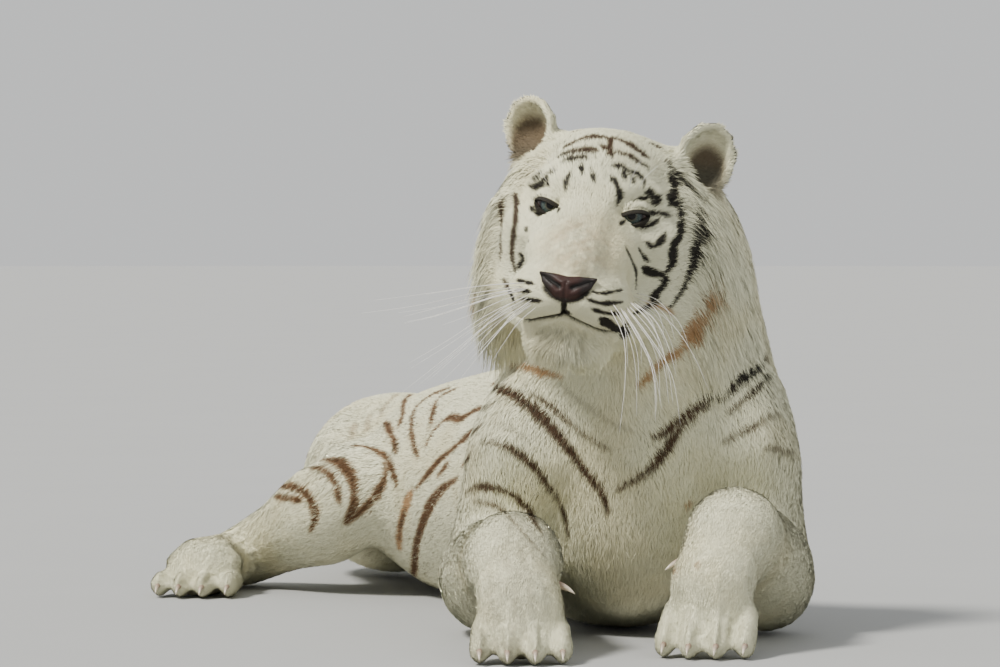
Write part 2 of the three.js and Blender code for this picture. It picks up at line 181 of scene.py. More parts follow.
def aboveFloor(points, height):
    # nothing goes lower than height mm over the floor
    points[:, 2] = np.maximum(points[:, 2], height * mm)
    return points


def attribute(mesh, name, values):
    layer = mesh.attributes.new(name, "FLOAT_COLOR", "POINT")
    layer.data.foreach_set("color", values.astype(np.float32).ravel())


def smoothPath(path, spacing):
    # a curve through the points, with a step about every spacing
    p = np.array([path[0], *path, path[-1]], float)
    made = []
    for i in range(1, len(p) - 2):
        steps = max(1, math.ceil(np.linalg.norm(p[i + 1] - p[i]) / spacing))
        for t in np.arange(steps) / steps:
            made.append(0.5 * (2 * p[i] + (p[i + 1] - p[i - 1]) * t
                               + (2 * p[i - 1] - 5 * p[i] + 4 * p[i + 1] - p[i + 2]) * t ** 2
                               + (3 * p[i] - p[i - 1] - 3 * p[i + 1] + p[i + 2]) * t ** 3))
    return np.array(made + [p[-2]])


def pathDistance(points, path):
    best = np.full(len(points), 1e9)
    for a, b in zip(path[:-1], path[1:]):
        a, b = np.array(a, float), np.array(b, float)
        along = np.clip((points - a) @ (b - a) / max((b - a) @ (b - a), 1e-12), 0, 1)
        best = np.minimum(best, np.linalg.norm(points - a - along[:, None] * (b - a), axis=1))
    return best


# Joints in millimetres, from the body outwards.
joints = {
    "trunk": [(0, 150, 300), (-20, 280, 215), (-92, 490, 190), (-258, 870, 165), (-375, 1190, 140)],
    "nape": [(-20, 120, 560), (10, 200, 440), (0, 330, 330)],
    "throat": [(-20, 20, 420), (0, 10, 250), (0, 60, 60)],
    "tail": [(-380, 1200, 160), (-414, 1310, 92), (-404, 1440, 40), (-304, 1548, 34), (-130, 1566, 31),
             (44, 1500, 28), (160, 1370, 25), (204, 1220, 22)],
    "foreRight": [(-72, 236, 336), (-106, 118, 258), (-178, 150, 66), (-142, -140, 118), (-132, -226, 70),
                  (-130, -300, 19)],
    "foreLeft": [(118, 236, 342), (130, 118, 264), (184, 150, 66), (136, -80, 146), (106, -156, 92),
                 (94, -216, 19)],
    "hindRight": [(-382, 1040, 150), (-366, 726, 150), (-560, 905, 44), (-604, 752, 42), (-616, 682, 19)],
    "hindLeft": [(-266, 1080, 142), (-160, 790, 128), (-124, 1050, 44), (-98, 892, 42), (-92, 822, 19)],
}
foreLegs, hindLegs = ["foreRight", "foreLeft"], ["hindRight", "hindLeft"]


def onBothSides(*parts):
    return [part + side for part in parts for side in ("_right", "_left")]


# The coat by parts of the body. depth: how far the skin lies inside the solid, in mm. length and width: of a
# tuft, in mm. each: tufts per square centimetre. form: how far the skin is smoothed, in mm. lie: what it lies
# along. The face's own length, width and number are worked out further on.
regions = {
    "head": {"nodes": ["head"], "lie": ["nape"],
             "depth": 6, "length": 12, "width": 1.0, "each": 55, "form": 6},
    "ear": {"nodes": onBothSides("ear"), "lie": ["nape"],
            "depth": 1.5, "length": 8, "width": 0.9, "each": 45, "form": 2.5},
    "neck": {"nodes": ["neck"], "lie": ["nape", "throat"],
             "depth": 9, "length": 25, "width": 1.1, "each": 17, "form": 22},
    "chest": {"nodes": ["chest"], "lie": ["trunk", "throat"],
              "depth": 5.5, "length": 15, "width": 1.0, "each": 24, "form": 24},
    "belly": {"nodes": ["abdomen"], "lie": ["trunk"],
              "depth": 5.5, "length": 15, "width": 1.0, "each": 17, "form": 24},
    "rump": {"nodes": ["pelvis"], "lie": ["trunk"],
             "depth": 5.5, "length": 15, "width": 1.0, "each": 19, "form": 24},
    "arm": {"nodes": onBothSides("upper_arm"), "lie": foreLegs,
            "depth": 4, "length": 13, "width": 1.0, "each": 26, "form": 20},
    "forearm": {"nodes": onBothSides("forearm"), "lie": foreLegs,
                "depth": 2.6, "length": 11, "width": 0.9, "each": 30, "form": 12},
    "paw": {"nodes": onBothSides("paw"), "lie": foreLegs,
            "depth": 2, "length": 8, "width": 0.8, "each": 42, "form": 18},
    "toe": {"nodes": [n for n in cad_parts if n.startswith("toe_")], "lie": foreLegs + hindLegs,
            "depth": 1.6, "length": 5.5, "width": 0.7, "each": 50, "form": 8},
    "thigh": {"nodes": onBothSides("thigh"), "lie": hindLegs,
              "depth": 4.5, "length": 14, "width": 1.0, "each": 24, "form": 20},
    "shank": {"nodes": onBothSides("shank"), "lie": hindLegs,
              "depth": 3.2, "length": 12, "width": 0.9, "each": 28, "form": 14},
    "foot": {"nodes": onBothSides("foot"), "lie": hindLegs,
             "depth": 2, "length": 8, "width": 0.8, "each": 40, "form": 8},
    "tail": {"nodes": ["tail_root", "tail_middle", "tail_tip"], "lie": ["tail"],
             "depth": 6, "length": 19, "width": 1.1, "each": 22, "form": 9},
}
regionNames = list(regions)
floorGap = 1.5  # between the skin and the floor, in mm
fleshNodes = [n for r in regions.values() for n in r["nodes"]]

# The skin is remeshed from the parts, which first grow by the overlap. voxel and overlap are in mm.
# cheekForm and tailForm: how much more the skin is smoothed behind the cheeks and round the root of the tail.
skinMake = {"voxel": 4.0, "overlap": 1.0, "rounds": 150, "faces": 60000, "cheekForm": 14, "tailForm": 16}


def readSolid(node):
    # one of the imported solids, joined up and made of triangles
    bm = bmesh.new()
    bm.from_mesh(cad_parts[node].data)
    bmesh.ops.remove_doubles(bm, verts=bm.verts, dist=1e-5)
    bmesh.ops.triangulate(bm, faces=bm.faces)
    return bm


def fleshSoup(grow):
    # every part of flesh, grown a little so that neighbours join, with the region of each face
    points, faces, owner, start = [], [], [], 0
    for index, region in enumerate(regions.values()):
        fillers = ["eye_right", "eye_left", "nose"] if "head" in region["nodes"] else []
        for node in region["nodes"] + fillers:
            bm = readSolid(node)
            bmesh.ops.recalc_face_normals(bm, faces=bm.faces)
            bm.normal_update()
            points += [tuple(v.co + v.normal * grow) for v in bm.verts]
            faces += [tuple(v.index + start for v in f.verts) for f in bm.faces]
            owner += [index] * len(bm.faces)
            start += len(bm.verts)
            bm.free()
    return points, faces, owner


def isOn(owner, *names):
    # whether a point or a face belongs to one of these regions
    return np.isin(owner, [regionNames.index(name) for name in names])


def nearestRegion(points, soup):
    tree = BVHTree.FromPolygons(soup[0], soup[1])
    return np.array([soup[2][tree.find_nearest(p)[2]] for p in points.tolist()])


def openForEditing(obj):
    bpy.ops.object.select_all(action="DESELECT")
    bpy.context.view_layer.objects.active = obj
    obj.select_set(True)
    bpy.ops.object.mode_set(mode="EDIT")
    bpy.ops.mesh.select_all(action="SELECT")


def largestPiece(obj):
    openForEditing(obj)
    bpy.ops.mesh.separate(type="LOOSE")
    bpy.ops.object.mode_set(mode="OBJECT")
    parts = sorted(bpy.context.selected_objects, key=lambda o: -len(o.data.vertices))
    for extra in parts[1:]:
        bpy.data.objects.remove(extra)
    return parts[0]


def skinTree():
    return BVHTree.FromObject(skin, bpy.context.evaluated_depsgraph_get())


soup = fleshSoup(skinMake["overlap"] * mm)
skin = addObject("skin", meshFrom("skin", np.array(soup[0]), soup[1]))
withModifier(skin, "REMESH", mode="VOXEL", voxel_size=skinMake["voxel"] * mm)
skin = largestPiece(skin)
skin.name = "skin"
points = readPoints(skin.data)
owner = nearestRegion(points, soup)
edges = readEdges(skin.data)
form = np.array([regions[r]["form"] for r in regionNames], float)[owner]
form += skinMake["cheekForm"] * isOn(owner, "head") * smoothstep(60, 125, toHead(points)[:, 1])
fromTail = np.linalg.norm(points - fromModel(joints["tail"][0]), axis=1)
form += skinMake["tailForm"] * smoothstep(0.16, 0.06, fromTail)
form = relax(form[:, None], edges, 0.5, 20)[:, 0]
strength = np.clip(form ** 2 / (skinMake["rounds"] * skinMake["voxel"] ** 2 / 2), 0, 0.9)
writePoints(skin.data, relax(points, edges, strength, skinMake["rounds"]))
print("skin joined:", len(points), "points")

# the trunk and limbs need fewer faces than the face, ears and toes
head = toHead(points)
coarse = ~isOn(owner, "head", "ear", "toe") | (isOn(owner, "head") & (head[:, 1] > 60))
group = skin.vertex_groups.new(name="coarse")
group.add(np.nonzero(coarse)[0].tolist(), 1.0, "REPLACE")
ratio = skinMake["faces"] / (2 * len(skin.data.polygons))
withModifier(skin, "DECIMATE", ratio=ratio, vertex_group="coarse", use_collapse_triangulate=True)
skin.vertex_groups.clear()


def refine(mesh, chosen):
    # splits the edges between the chosen points in two
    bm = bmesh.new()
    bm.from_mesh(mesh)
    bm.verts.ensure_lookup_table()
    wanted = set(np.nonzero(chosen)[0].tolist())
    inside = [e for e in bm.edges if e.verts[0].index in wanted and e.verts[1].index in wanted]
    bmesh.ops.subdivide_edges(bm, edges=inside, cuts=1, use_grid_fill=True)
    bmesh.ops.triangulate(bm, faces=[f for f in bm.faces if len(f.verts) > 3])
    bm.to_mesh(mesh)
    bm.free()


def softened(mesh, chosen, rounds):
    points = readPoints(mesh)
    writePoints(mesh, relax(points, readEdges(mesh), 0.5 * chosen(toHead(points)), rounds))


# finer still over the muzzle and round the eyes
eyeSpots = np.array([[-53, 0, 0], [53, 0, 0]])


def nearMuzzle(head):
    return (head[:, 1] < 20) & (np.abs(head[:, 0]) < 84) & (head[:, 2] < 40) & (head[:, 2] > -180)


def nearEyes(head):
    return np.min([np.linalg.norm(head - spot, axis=1) for spot in eyeSpots], axis=0) < 36


for chosen in (nearMuzzle, nearEyes, nearEyes):
    refine(skin.data, chosen(toHead(readPoints(skin.data))))
    softened(skin.data, lambda head: chosen(head).astype(float), 6)
points = readPoints(skin.data)
owner = nearestRegion(points, soup)
edges = readEdges(skin.data)
print("skin refined:", len(points), "points,", len(skin.data.polygons), "faces")


def blended(field, rounds):
    # a value of the regions, eased from one to the next over the skin
    values = np.array([regions[r][field] for r in regionNames], float)[owner][:, None]
    return relax(values, edges, 0.5, rounds)[:, 0]


def fromNose(head):
    # how far from the middle of the nose, in mm
    return np.linalg.norm((head - [0, -140, -88]) * [1, 0.8, 1], axis=1)


def chinness(head):
    # 1 on the chin and under it
    return smoothstep(-132, -165, head[:, 2]) * smoothstep(40, -30, head[:, 1])


# The skin goes inside by the depth of the coat, which is least on the nose and most in the ruff and beard.
head = toHead(points)
isHead = isOn(owner, "head").astype(float)
headWeight = relax(isOn(owner, "head", "ear").astype(float)[:, None], edges, 0.5, 8)[:, 0]
ruffness = isHead * smoothstep(30, 100, head[:, 1]) * smoothstep(60, -40, head[:, 2])
faceDepth = 2 + 3 * smoothstep(70, 200, fromNose(head)) + 8 * ruffness + 5 * isHead * chinness(head)
depth = np.where(isHead > 0, faceDepth, blended("depth", 25))
depth = relax(depth[:, None], edges, 0.5, 25)[:, 0]
writePoints(skin.data, points - readNormals(skin.data) * depth[:, None] * mm)
softened(skin.data, lambda head: np.where(np.linalg.norm(head, axis=1) < 260, 0.6, 0.2), 3)

# Strokes of the modelling tool, in the head's frame. All is in mm, and a negative press raises. Those that
# are not central are made on both sides.
faceStrokes = {
    "noseBed": {"path": [(-26, -146, -82), (0, -150, -90), (26, -146, -82)], "radius": 14, "press": 6,
                "central": True},
    "bridge": {"path": [(0, -10, 30), (0, -60, -6), (0, -118, -56)], "radius": 22, "press": -2.5,
               "central": True},
    "bridgeSide": {"path": [(27, -24, -10), (30, -66, -42), (30, -100, -68)], "radius": 13, "press": 3.5},
    "innerCorner": {"path": [(33, -14, -8), (38, -30, -22), (40, -46, -36)], "radius": 10, "press": 3},
    "brow": {"path": [(30, -14, 26), (52, -12, 31), (78, 4, 26)], "radius": 11, "press": -4.5},
    "cheekFold": {"path": [(56, -30, -34), (80, -6, -38), (94, 18, -28)], "radius": 12, "press": -3},
    "padRise": {"path": [(24, -132, -112), (44, -118, -114), (60, -92, -112)], "radius": 24, "press": -5},
    "padBack": {"path": [(70, -66, -80), (78, -54, -104), (82, -44, -130)], "radius": 12, "press": 4},
    "muzzleTop": {"path": [(34, -118, -78), (50, -96, -76), (60, -70, -74)], "radius": 9, "press": 2},
    "philtrum": {"path": [(0, -150, -108), (0, -143, -118), (0, -136, -128)], "radius": 3.2, "press": 4,
                 "central": True},
    "mouth": {"path": [(0, -134, -127), (14, -136, -134), (30, -132, -140), (47, -118, -144), (60, -96, -145),
                       (70, -72, -142), (79, -48, -135)], "radius": 5, "press": 9},
    "mouthUnder": {"path": [(0, -124, -140), (22, -124, -152), (46, -108, -164)], "radius": 8, "press": 1.5},
    "chin": {"path": [(0, -112, -172), (26, -104, -174), (40, -84, -170)], "radius": 20, "press": -4},
    "forehead": {"path": [(0, 10, 62), (0, 50, 84), (0, 90, 100)], "radius": 9, "press": 1.8,
                 "central": True},
}


def snapped(path, tree):
    # the path's points, moved to the nearest place on the skin
    return toHead([tree.find_nearest(Vector(p))[0] for p in fromHead(path)])


def strokePaths(stroke, spacing, tree):
    # the stroke laid on the surface, and its mirror image unless it is central
    for side in ((1,) if stroke.get("central") else (1, -1)):
        yield snapped(smoothPath(np.array(stroke["path"]) * [side, 1, 1], spacing), tree)


tree = skinTree()
points = readPoints(skin.data)
head = toHead(points)
near = (np.linalg.norm(head, axis=1) < 270) & (headWeight > 0.05)
shift = np.zeros(len(points))
lipDistance = np.full(len(points), 99.0)
for name, stroke in faceStrokes.items():
    for path in strokePaths(stroke, 6, tree):
        away = pathDistance(head[near], path)
        shift[near] += stroke["press"] * falloff(away, stroke["radius"])
        if name in ("mouth", "philtrum"):
            lipDistance[near] = np.minimum(lipDistance[near], away)
writePoints(skin.data, points - readNormals(skin.data) * shift[:, None] * mm)

# Lids, in mm and degrees. The opening is drawn on the ball: along from the inner corner to the outer one, and
# up across it. reach: how far from the eye's middle the lids pull the skin, fading from there to fade. lid:
# their thickness, with the rim added at the edge and the fold taken off above the upper one. behind: how far
# the skin goes in behind the ball's front.
eyeMake = {"radius": 18.5, "halfLength": 20.5, "upper": 8.6, "lower": 3.4, "tilt": 21, "middle": (-1, -6),
           "lid": 2.5, "rim": 1.6, "fold": 0.9, "foldAt": 6.5, "reach": 21, "fade": 35, "outward": 12,
           "behind": 5}
farFromLids = 40.0  # in mm


def eyeAxes(side):
    # columns: outwards, forwards, up, in the head's frame
    turn = Matrix.Rotation(math.radians(eyeMake["outward"] * side), 3, "Z")
    forward = np.array(turn @ Vector((0, -1, 0)))
    outward = unit(np.array([side, 0, 0]) - forward * forward[0] * side)
    return np.stack([outward, forward, np.array([0, 0, 1.0])], axis=1)


def lidShape(points, side):
    # how far outside the opening a point is, in mm, how far from the eye's middle, and how high
    local = (points - eyeSpots[(side + 1) // 2]) @ eyeAxes(side)
    r = np.linalg.norm(local, axis=1)
    flat = local / np.maximum(r, 1e-6)[:, None] * eyeMake["radius"]
    tilt = math.radians(eyeMake["tilt"])
    u, v = flat[:, 0] - eyeMake["middle"][0], flat[:, 2] - eyeMake["middle"][1]
    along = u * math.cos(tilt) + v * math.sin(tilt)
    up = v * math.cos(tilt) - u * math.sin(tilt)
    share = np.clip(1 - (along / eyeMake["halfLength"]) ** 2, 0, 1)
    top = eyeMake["upper"] * share ** 0.7
    bottom = -eyeMake["lower"] * share
    outside = np.maximum(np.maximum(up - top, bottom - up), (np.abs(along) - eyeMake["halfLength"]) * 0.7)
    outside = np.where(local[:, 1] < 0, farFromLids, outside)
    return outside, r, local, up


points = readPoints(skin.data)
head = toHead(points)
lidDistance = np.full(len(points), farFromLids)
for side in (1, -1):
    centre = eyeSpots[(side + 1) // 2]
    outside, r, local, up = lidShape(head, side)
    sideways = np.linalg.norm(local[:, [0, 2]], axis=1)
    weight = (1 - smoothstep(eyeMake["reach"], eyeMake["fade"], sideways)) * (local[:, 1] > 0) * (r < 60)
    lidEdge = eyeMake["radius"] + eyeMake["lid"] + eyeMake["rim"] * falloff(outside, 4)
    # further out the face shows through
    lidEdge += 0.35 * np.clip(r - lidEdge, -4, 12) * smoothstep(6, 16, outside)
    fold = falloff(outside - eyeMake["foldAt"], 2.2) * (up > 0) * eyeMake["fold"]
    behind = eyeMake["radius"] - eyeMake["behind"] * smoothstep(0, -2, outside)
    target = np.where(outside < 0, behind, lidEdge - fold)
    grown = r + (target - r) * weight
    head = centre + (head - centre) * (grown / np.maximum(r, 1e-6))[:, None]
    further = 0.6 * np.maximum(r - 25, 0)
    lidDistance = np.minimum(lidDistance, np.where(weight > 0, outside + further, farFromLids))
writePoints(skin.data, aboveFloor(fromHead(head), floorGap))

# Clefts between the toes, from the knuckles to the toe ends. ahead: how far they run on, in mm.
toeMake = {"pitch": 34, "press": 2.4, "radius": 5, "ahead": 22, "top": 20, "bottom": 8}
tree = skinTree()
points = readPoints(skin.data)
cleft = np.zeros(len(points))
for knuckles, toes in (joints[leg][-2:] for leg in foreLegs + hindLegs):
    start, end = np.array(knuckles, float), np.array(toes, float)
    flat = unit((end - start) * [1, 1, 0])
    across = np.array([-flat[1], flat[0], 0])
    for place in (-1, 0, 1):
        aside = flat * toeMake["ahead"] + across * place * toeMake["pitch"]
        top, tip = start + aside + [0, 0, toeMake["top"]], end + aside + [0, 0, toeMake["bottom"]]
        line = [tree.find_nearest(Vector(p))[0] for p in fromModel(np.linspace(top, tip, 9))]
        cleft = np.maximum(cleft, falloff(pathDistance(points, line) / mm, toeMake["radius"]))

# Hollows round the muscles, in the body's own millimetres.
bodyStrokes = {
    "haunch": {"radius": 36, "press": 15, "path": [
        (-190, 1010, 280), (-130, 900, 270), (-95, 800, 230), (-85, 735, 170), (-90, 715, 100)]},
    "shoulder": {"radius": 38, "press": 12, "path": [
        (60, 360, 470), (120, 380, 400), (160, 372, 300), (170, 340, 200), (165, 300, 120)]},
    "buttocks": {"path": [(-384, 1190, 150), (-374, 1215, 100), (-364, 1205, 40)], "radius": 24, "press": 12},
}
press = cleft * toeMake["press"]
for stroke in bodyStrokes.values():
    line = [tree.find_nearest(Vector(p))[0] for p in fromModel(smoothPath(stroke["path"], 20))]
    press += stroke["press"] * falloff(pathDistance(points, line) / mm, stroke["radius"])
writePoints(skin.data, aboveFloor(points - readNormals(skin.data) * press[:, None] * mm, floorGap))
print("face and feet modelled")

# Markings as seen from the front, of the head, breast, right foreleg, right flank and right haunch:
# (width, (across, up), ...) in mm from between the eyes, with across towards the tiger's left.
darkMarks = [
    # left cheek
    (10, (98, 47), (102, 28), (99, 13), (95, 4)),
    (12, (113, -12), (111, -32), (103, -46), (102, -66), (94, -81)),
    (9, (113, -12), (107, 2), (99, 13)), (9, (94, -81), (91, -96), (83, -107), (76, -120)),
    (8, (64, -73), (76, -79), (94, -83)),
    (8, (91, 60), (108, 42), (121, 23), (127, 3), (131, -17), (130, -36), (127, -61), (121, -86), (113, -105),
     (99, -125)),
    (5, (60, -19), (74, -20), (85, -13)), (4.5, (72, -3), (84, -4), (94, -7), (100, -9)),
    (4, (41, -14), (35, -20)),
    (5.5, (68, -41), (79, -46), (89, -39), (94, -29)), (3.5, (59, -49), (66, -59), (74, -66)),
    (3.5, (43, -48), (51, -66), (56, -81), (56, -101)),
    # over the left eye
    (10, (68, 23), (77, 19), (85, 9)), (5.5, (56, 13), (73, 17)),
    (6, (24, 43), (32, 31), (36, 19), (32, 7)),
    (7, (26, 56), (38, 54), (53, 46), (63, 39), (65, 30)), (4, (39, 52), (43, 36)), (4, (49, 48), (53, 32)),
    (6.5, (30, 72), (45, 68), (59, 60), (70, 52)),
    # crown and forehead
    (8, (18, 88), (24, 89), (32, 89)), (10, (24, 89), (-1, 91), (-19, 86), (-34, 78)),
    (9, (-42, 66), (-25, 73), (-5, 75), (7, 74)), (6.5, (-38, 59), (-28, 64), (-13, 65), (-6, 64)),
    (6.5, (24, 89), (22, 75), (25, 64)), (4, (9, 82), (22, 74)), (6, (4, 66), (5, 65)),
    (5.5, (-14, 57), (-12, 46)), (4, (0, 47), (4, 36)), (4, (-57, 42), (-54, 30)),
    (4, (-2, 52), (-1, 51)), (10.5, (32, 89), (45, 83), (57, 75), (69, 65)),
    (6, (49, 95), (69, 91), (86, 85)), (4, (45, 102), (76, 97), (94, 89)), (5, (72, 83), (88, 77)),
    (3.5, (-25, 97), (-1, 102), (22, 103)), (4.5, (-27, 48), (-32, 38), (-34, 27)),
    # over the right eye
    (6, (-79, 31), (-69, 32), (-54, 45), (-46, 50)), (4.5, (-75, 37), (-60, 48)),
    (5, (-95, 19), (-93, 3)), (5.5, (-79, 4), (-72, -2), (-64, -8)), (3, (-76, 14), (-65, 16)),
    (3, (-41, 3), (-42, -4)),
    # right cheek
    (7, (-97, 19), (-96, 1), (-99, -26), (-102, -54), (-98, -79)), (8.5, (-84, -22), (-83, -25)),
    (4.5, (-80, -38), (-80, -41)), (7, (-93, -56), (-88, -62), (-95, -75)),
    (5.5, (-111, 15), (-113, -25), (-115, -66)), (5, (-112, -89), (-99, -118)),
    # rows of the whiskers, and the lips
    (2.5, (0, -105), (14, -107), (39, -103)), (3.5, (-6, -115), (14, -120), (39, -118)),
    (3, (0, -127), (17, -132), (36, -133)),
    (3, (-97, -90), (-75, -95)), (3, (-98, -103), (-79, -105)), (3, (-93, -114), (-64, -117)),
    (12, (12, -140), (32, -152), (47, -157)), (4, (54, -133), (71, -125), (86, -118)),
    (6, (-46, -134), (-36, -130), (-27, -133)),
    # breast
    (13.5, (-124, -224), (-88, -244), (-58, -273), (-32, -304), (-6, -337), (14, -363), (21, -388)),
    (4, (-83, -235), (-58, -247), (-32, -269), (-6, -291), (23, -308)),
    (12, (219, -176), (212, -201), (181, -218), (147, -235), (126, -253), (100, -278), (78, -291)),
    (9, (126, -265), (104, -291), (87, -317), (62, -342), (33, -359)),
    (5, (226, -209), (203, -235), (173, -259)), (4, (237, -259), (203, -278), (168, -297)),
    (4, (219, -305), (256, -310)),
    # right shoulder and foreleg
    (7, (-140, -297), (-114, -301), (-83, -320), (-58, -350), (-37, -385), (-29, -419)),
    (8, (-160, -363), (-144, -356), (-114, -359), (-88, -376), (-76, -397), (-63, -419)),
    (3.5, (-150, -374), (-122, -381), (-101, -401), (-79, -427), (-63, -445)),
    # right flank
    (7, (-202, -226), (-225, -234), (-238, -247), (-242, -267), (-246, -280)),
    (8.5, (-182, -231), (-206, -240), (-225, -257), (-230, -280), (-227, -300), (-221, -318)),
    (8, (-264, -273), (-256, -288), (-248, -313)),
    (6.5, (-171, -231), (-194, -242), (-202, -260), (-205, -281)),
    (7.5, (-122, -248), (-150, -260), (-166, -269), (-182, -268), (-200, -283), (-211, -303)),
    (9, (-138, -275), (-166, -298), (-192, -321), (-211, -342), (-224, -358)),
    (5, (-153, -312), (-164, -330)),
    (5, (-181, -324), (-197, -343)), (7, (-236, -382), (-243, -402), (-246, -422)),
    (13, (-171, -345), (-189, -358), (-205, -378), (-217, -406), (-224, -432), (-228, -468)),
    # right haunch and shank
    (12, (-404, -358), (-385, -356), (-368, -364), (-357, -381), (-356, -397), (-361, -412)),
    (6, (-413, -368), (-372, -374)),
    (7, (-362, -332), (-346, -334), (-333, -346), (-326, -362), (-323, -378)),
    (12, (-346, -322), (-325, -324), (-311, -340), (-305, -362), (-307, -385), (-316, -402)),
    (8, (-308, -304), (-285, -307), (-263, -319), (-252, -340), (-249, -356)),
    (9, (-266, -325), (-265, -344), (-275, -364), (-295, -385), (-315, -402)),
]
faintMarks = [
    (6, (-41, -222), (-15, -244), (27, -273), (53, -282)), (5, (-131, -267), (-79, -295)),
    (7, (-246, -235), (-264, -253), (-271, -267)), (7, (-285, -264), (-287, -286)),
    (7, (-304, -274), (-308, -296)),
]
tanMarks = [
    (7, (146, -70), (142, -94), (135, -120)), (12, (135, -120), (127, -145), (113, -170)),
    (8, (118, -170), (103, -184), (86, -197), (71, -214), (59, -224)),
    (5, (71, -120), (96, -128), (103, -133)),
    (6, (-134, -77), (-135, -118), (-132, -150)),
    (14, (-136, -104), (-131, -132), (-120, -158), (-108, -176)),
    (9, (-104, -190), (-84, -199), (-62, -207), (-36, -212)),
    (17, (-228, -362), (-238, -382), (-244, -406), (-247, -434)), (7, (120, -378), (126, -378)),
    (5, (106, -462), (106, -468)), (5, (135, -455), (135, -461)),
]

# Bars that can't be seen from the front. Each set runs along a line of joints from one share of it to
# another, every spacing mm, and round it between two angles, where 0 is up and 90 the tiger's left.
barSets = {
    "leftFlank": {"on": ("chest", "belly", "rump"), "line": "trunk", "share": (0.1, 0.64), "spacing": 62,
                  "angles": (6, 112), "width": 10, "slant": 40},
    "leftRump": {"on": ("belly", "rump"), "line": "trunk", "share": (0.7, 0.97), "spacing": 62,
                 "angles": (6, 52), "width": 10, "slant": 30},
    "rightFlank": {"on": ("chest", "belly", "rump"), "line": "trunk", "share": (0.1, 0.97), "spacing": 62,
                   "angles": (-6, -64), "width": 10, "slant": 40},
    "rightRump": {"on": ("rump", "thigh"), "line": "trunk", "share": (0.86, 0.99), "spacing": 34,
                  "angles": (-14, -118), "width": 9, "slant": 16},
    "napeLeft": {"on": ("neck", "chest"), "line": "nape", "share": (0.18, 0.9), "spacing": 58,
                 "angles": (8, 84), "width": 8, "slant": 24},
    "napeRight": {"on": ("neck", "chest"), "line": "nape", "share": (0.18, 0.9), "spacing": 58,
                  "angles": (-8, -84), "width": 8, "slant": 24},
    "tail": {"on": ("tail",), "line": "tail", "share": (0.05, 0.86), "spacing": 62,
             "angles": (-165, 165), "width": 16, "slant": 4},
    "hindRight": {"on": ("thigh", "shank"), "line": "hindRight", "share": (0.1, 0.6), "spacing": 66,
                  "angles": (-130, 20), "width": 8, "slant": 12},
}

# Markings of the left side, as seen from there: (width, (along, up), ...) in the body's own millimetres.
sideMarks = [
    # haunch and shank
    (9, (1020, 268), (992, 215), (984, 160), (990, 120)), (8, (958, 240), (930, 190), (926, 140)),
    (8, (897, 226), (872, 180), (872, 132)), (7, (838, 200), (822, 158), (826, 118)),
    (5, (930, 110), (905, 92)),
    (7, (1072, 214), (1050, 160), (1046, 110)), (7, (1130, 220), (1118, 165), (1108, 112)),
    (5, (1000, 98), (975, 70)), (5, (948, 90), (925, 64)), (5, (792, 160), (784, 128)),
    # shoulder and upper arm
    (9, (62, 470), (92, 402), (84, 330)), (8, (150, 505), (182, 432), (176, 360)),
    (5, (120, 470), (136, 424)),
    (8, (232, 420), (256, 345), (246, 268)), (7, (170, 322), (194, 256), (186, 196)),
    (6, (104, 262), (126, 205)),
    (5, (40, 300), (58, 252)), (5, (210, 215), (222, 165)), (6, (-10, 415), (8, 360)),
    # neck
    (7, (90, 600), (132, 560), (150, 500)), (6, (40, 560), (72, 520)), (6, (10, 505), (34, 468)),
]

# How marks are laid, in mm. grow: added on each side, as light hair overlies the edges. gap: the longest step
# inside one mark. slack: how far under the surface a place may lie and still count as seen. ends and uneven:
# what is left of the width at both ends, and how far it varies, as shares.
markMake = {"spacing": 2.5, "grow": 1.4, "gap": 60, "slack": 30, "tailTip": 42, "ends": 0.45, "uneven": 0.22}
# How softly the marks of each kind end, in mm, and how much softer the dark ones are off the face.
markSoftness = {"dark": 1.6, "faint": 4, "tan": 6, "offFace": 3.5}
# How far each bar may differ from its set, in degrees for angle and as shares of it for the others.
barMake = {"steps": 26, "angle": 6, "short": (0, 0.3), "slant": (0.4, 1.3), "bend": (-0.5, 0.5),
           "width": (0.65, 1.25)}
markDice = np.random.default_rng(5)
surface = skinTree()
faceOwner = owner[readTriangles(skin.data)[:, 0]]


def metSkin(start, way):
    # where a line of sight first meets the skin
    return surface.ray_cast(Vector(start), Vector(way).normalized())[0]


def seenFromFront(place):
    # whether no other part of the skin hides it
    way = Vector(place) - Vector(viewPoint)
    hit = metSkin(viewPoint, way)
    return hit is not None and (hit - Vector(viewPoint)).length > way.length - markMake["slack"] * mm


def frontLine(path):
    # a path as seen from the front, laid on the skin
    ways = [eyePoint + np.array([x, 0, z]) * mm - viewPoint for x, z in smoothPath(path, 3)]
    hits = [metSkin(viewPoint, way) for way in ways]
    return np.array([tuple(hit) for hit in hits if hit is not None]).reshape(-1, 3)


def sideLine(path):
    # a path as seen from the left, laid on the skin where the view from the front doesn't show it
    starts = fromModel([(2000, y, z) for y, z in smoothPath(path, 6)])
    hits = [metSkin(start, (-1, 0, 0)) for start in starts]
    return np.array([tuple(hit) for hit in hits if hit is not None and not seenFromFront(hit)]).reshape(-1, 3)


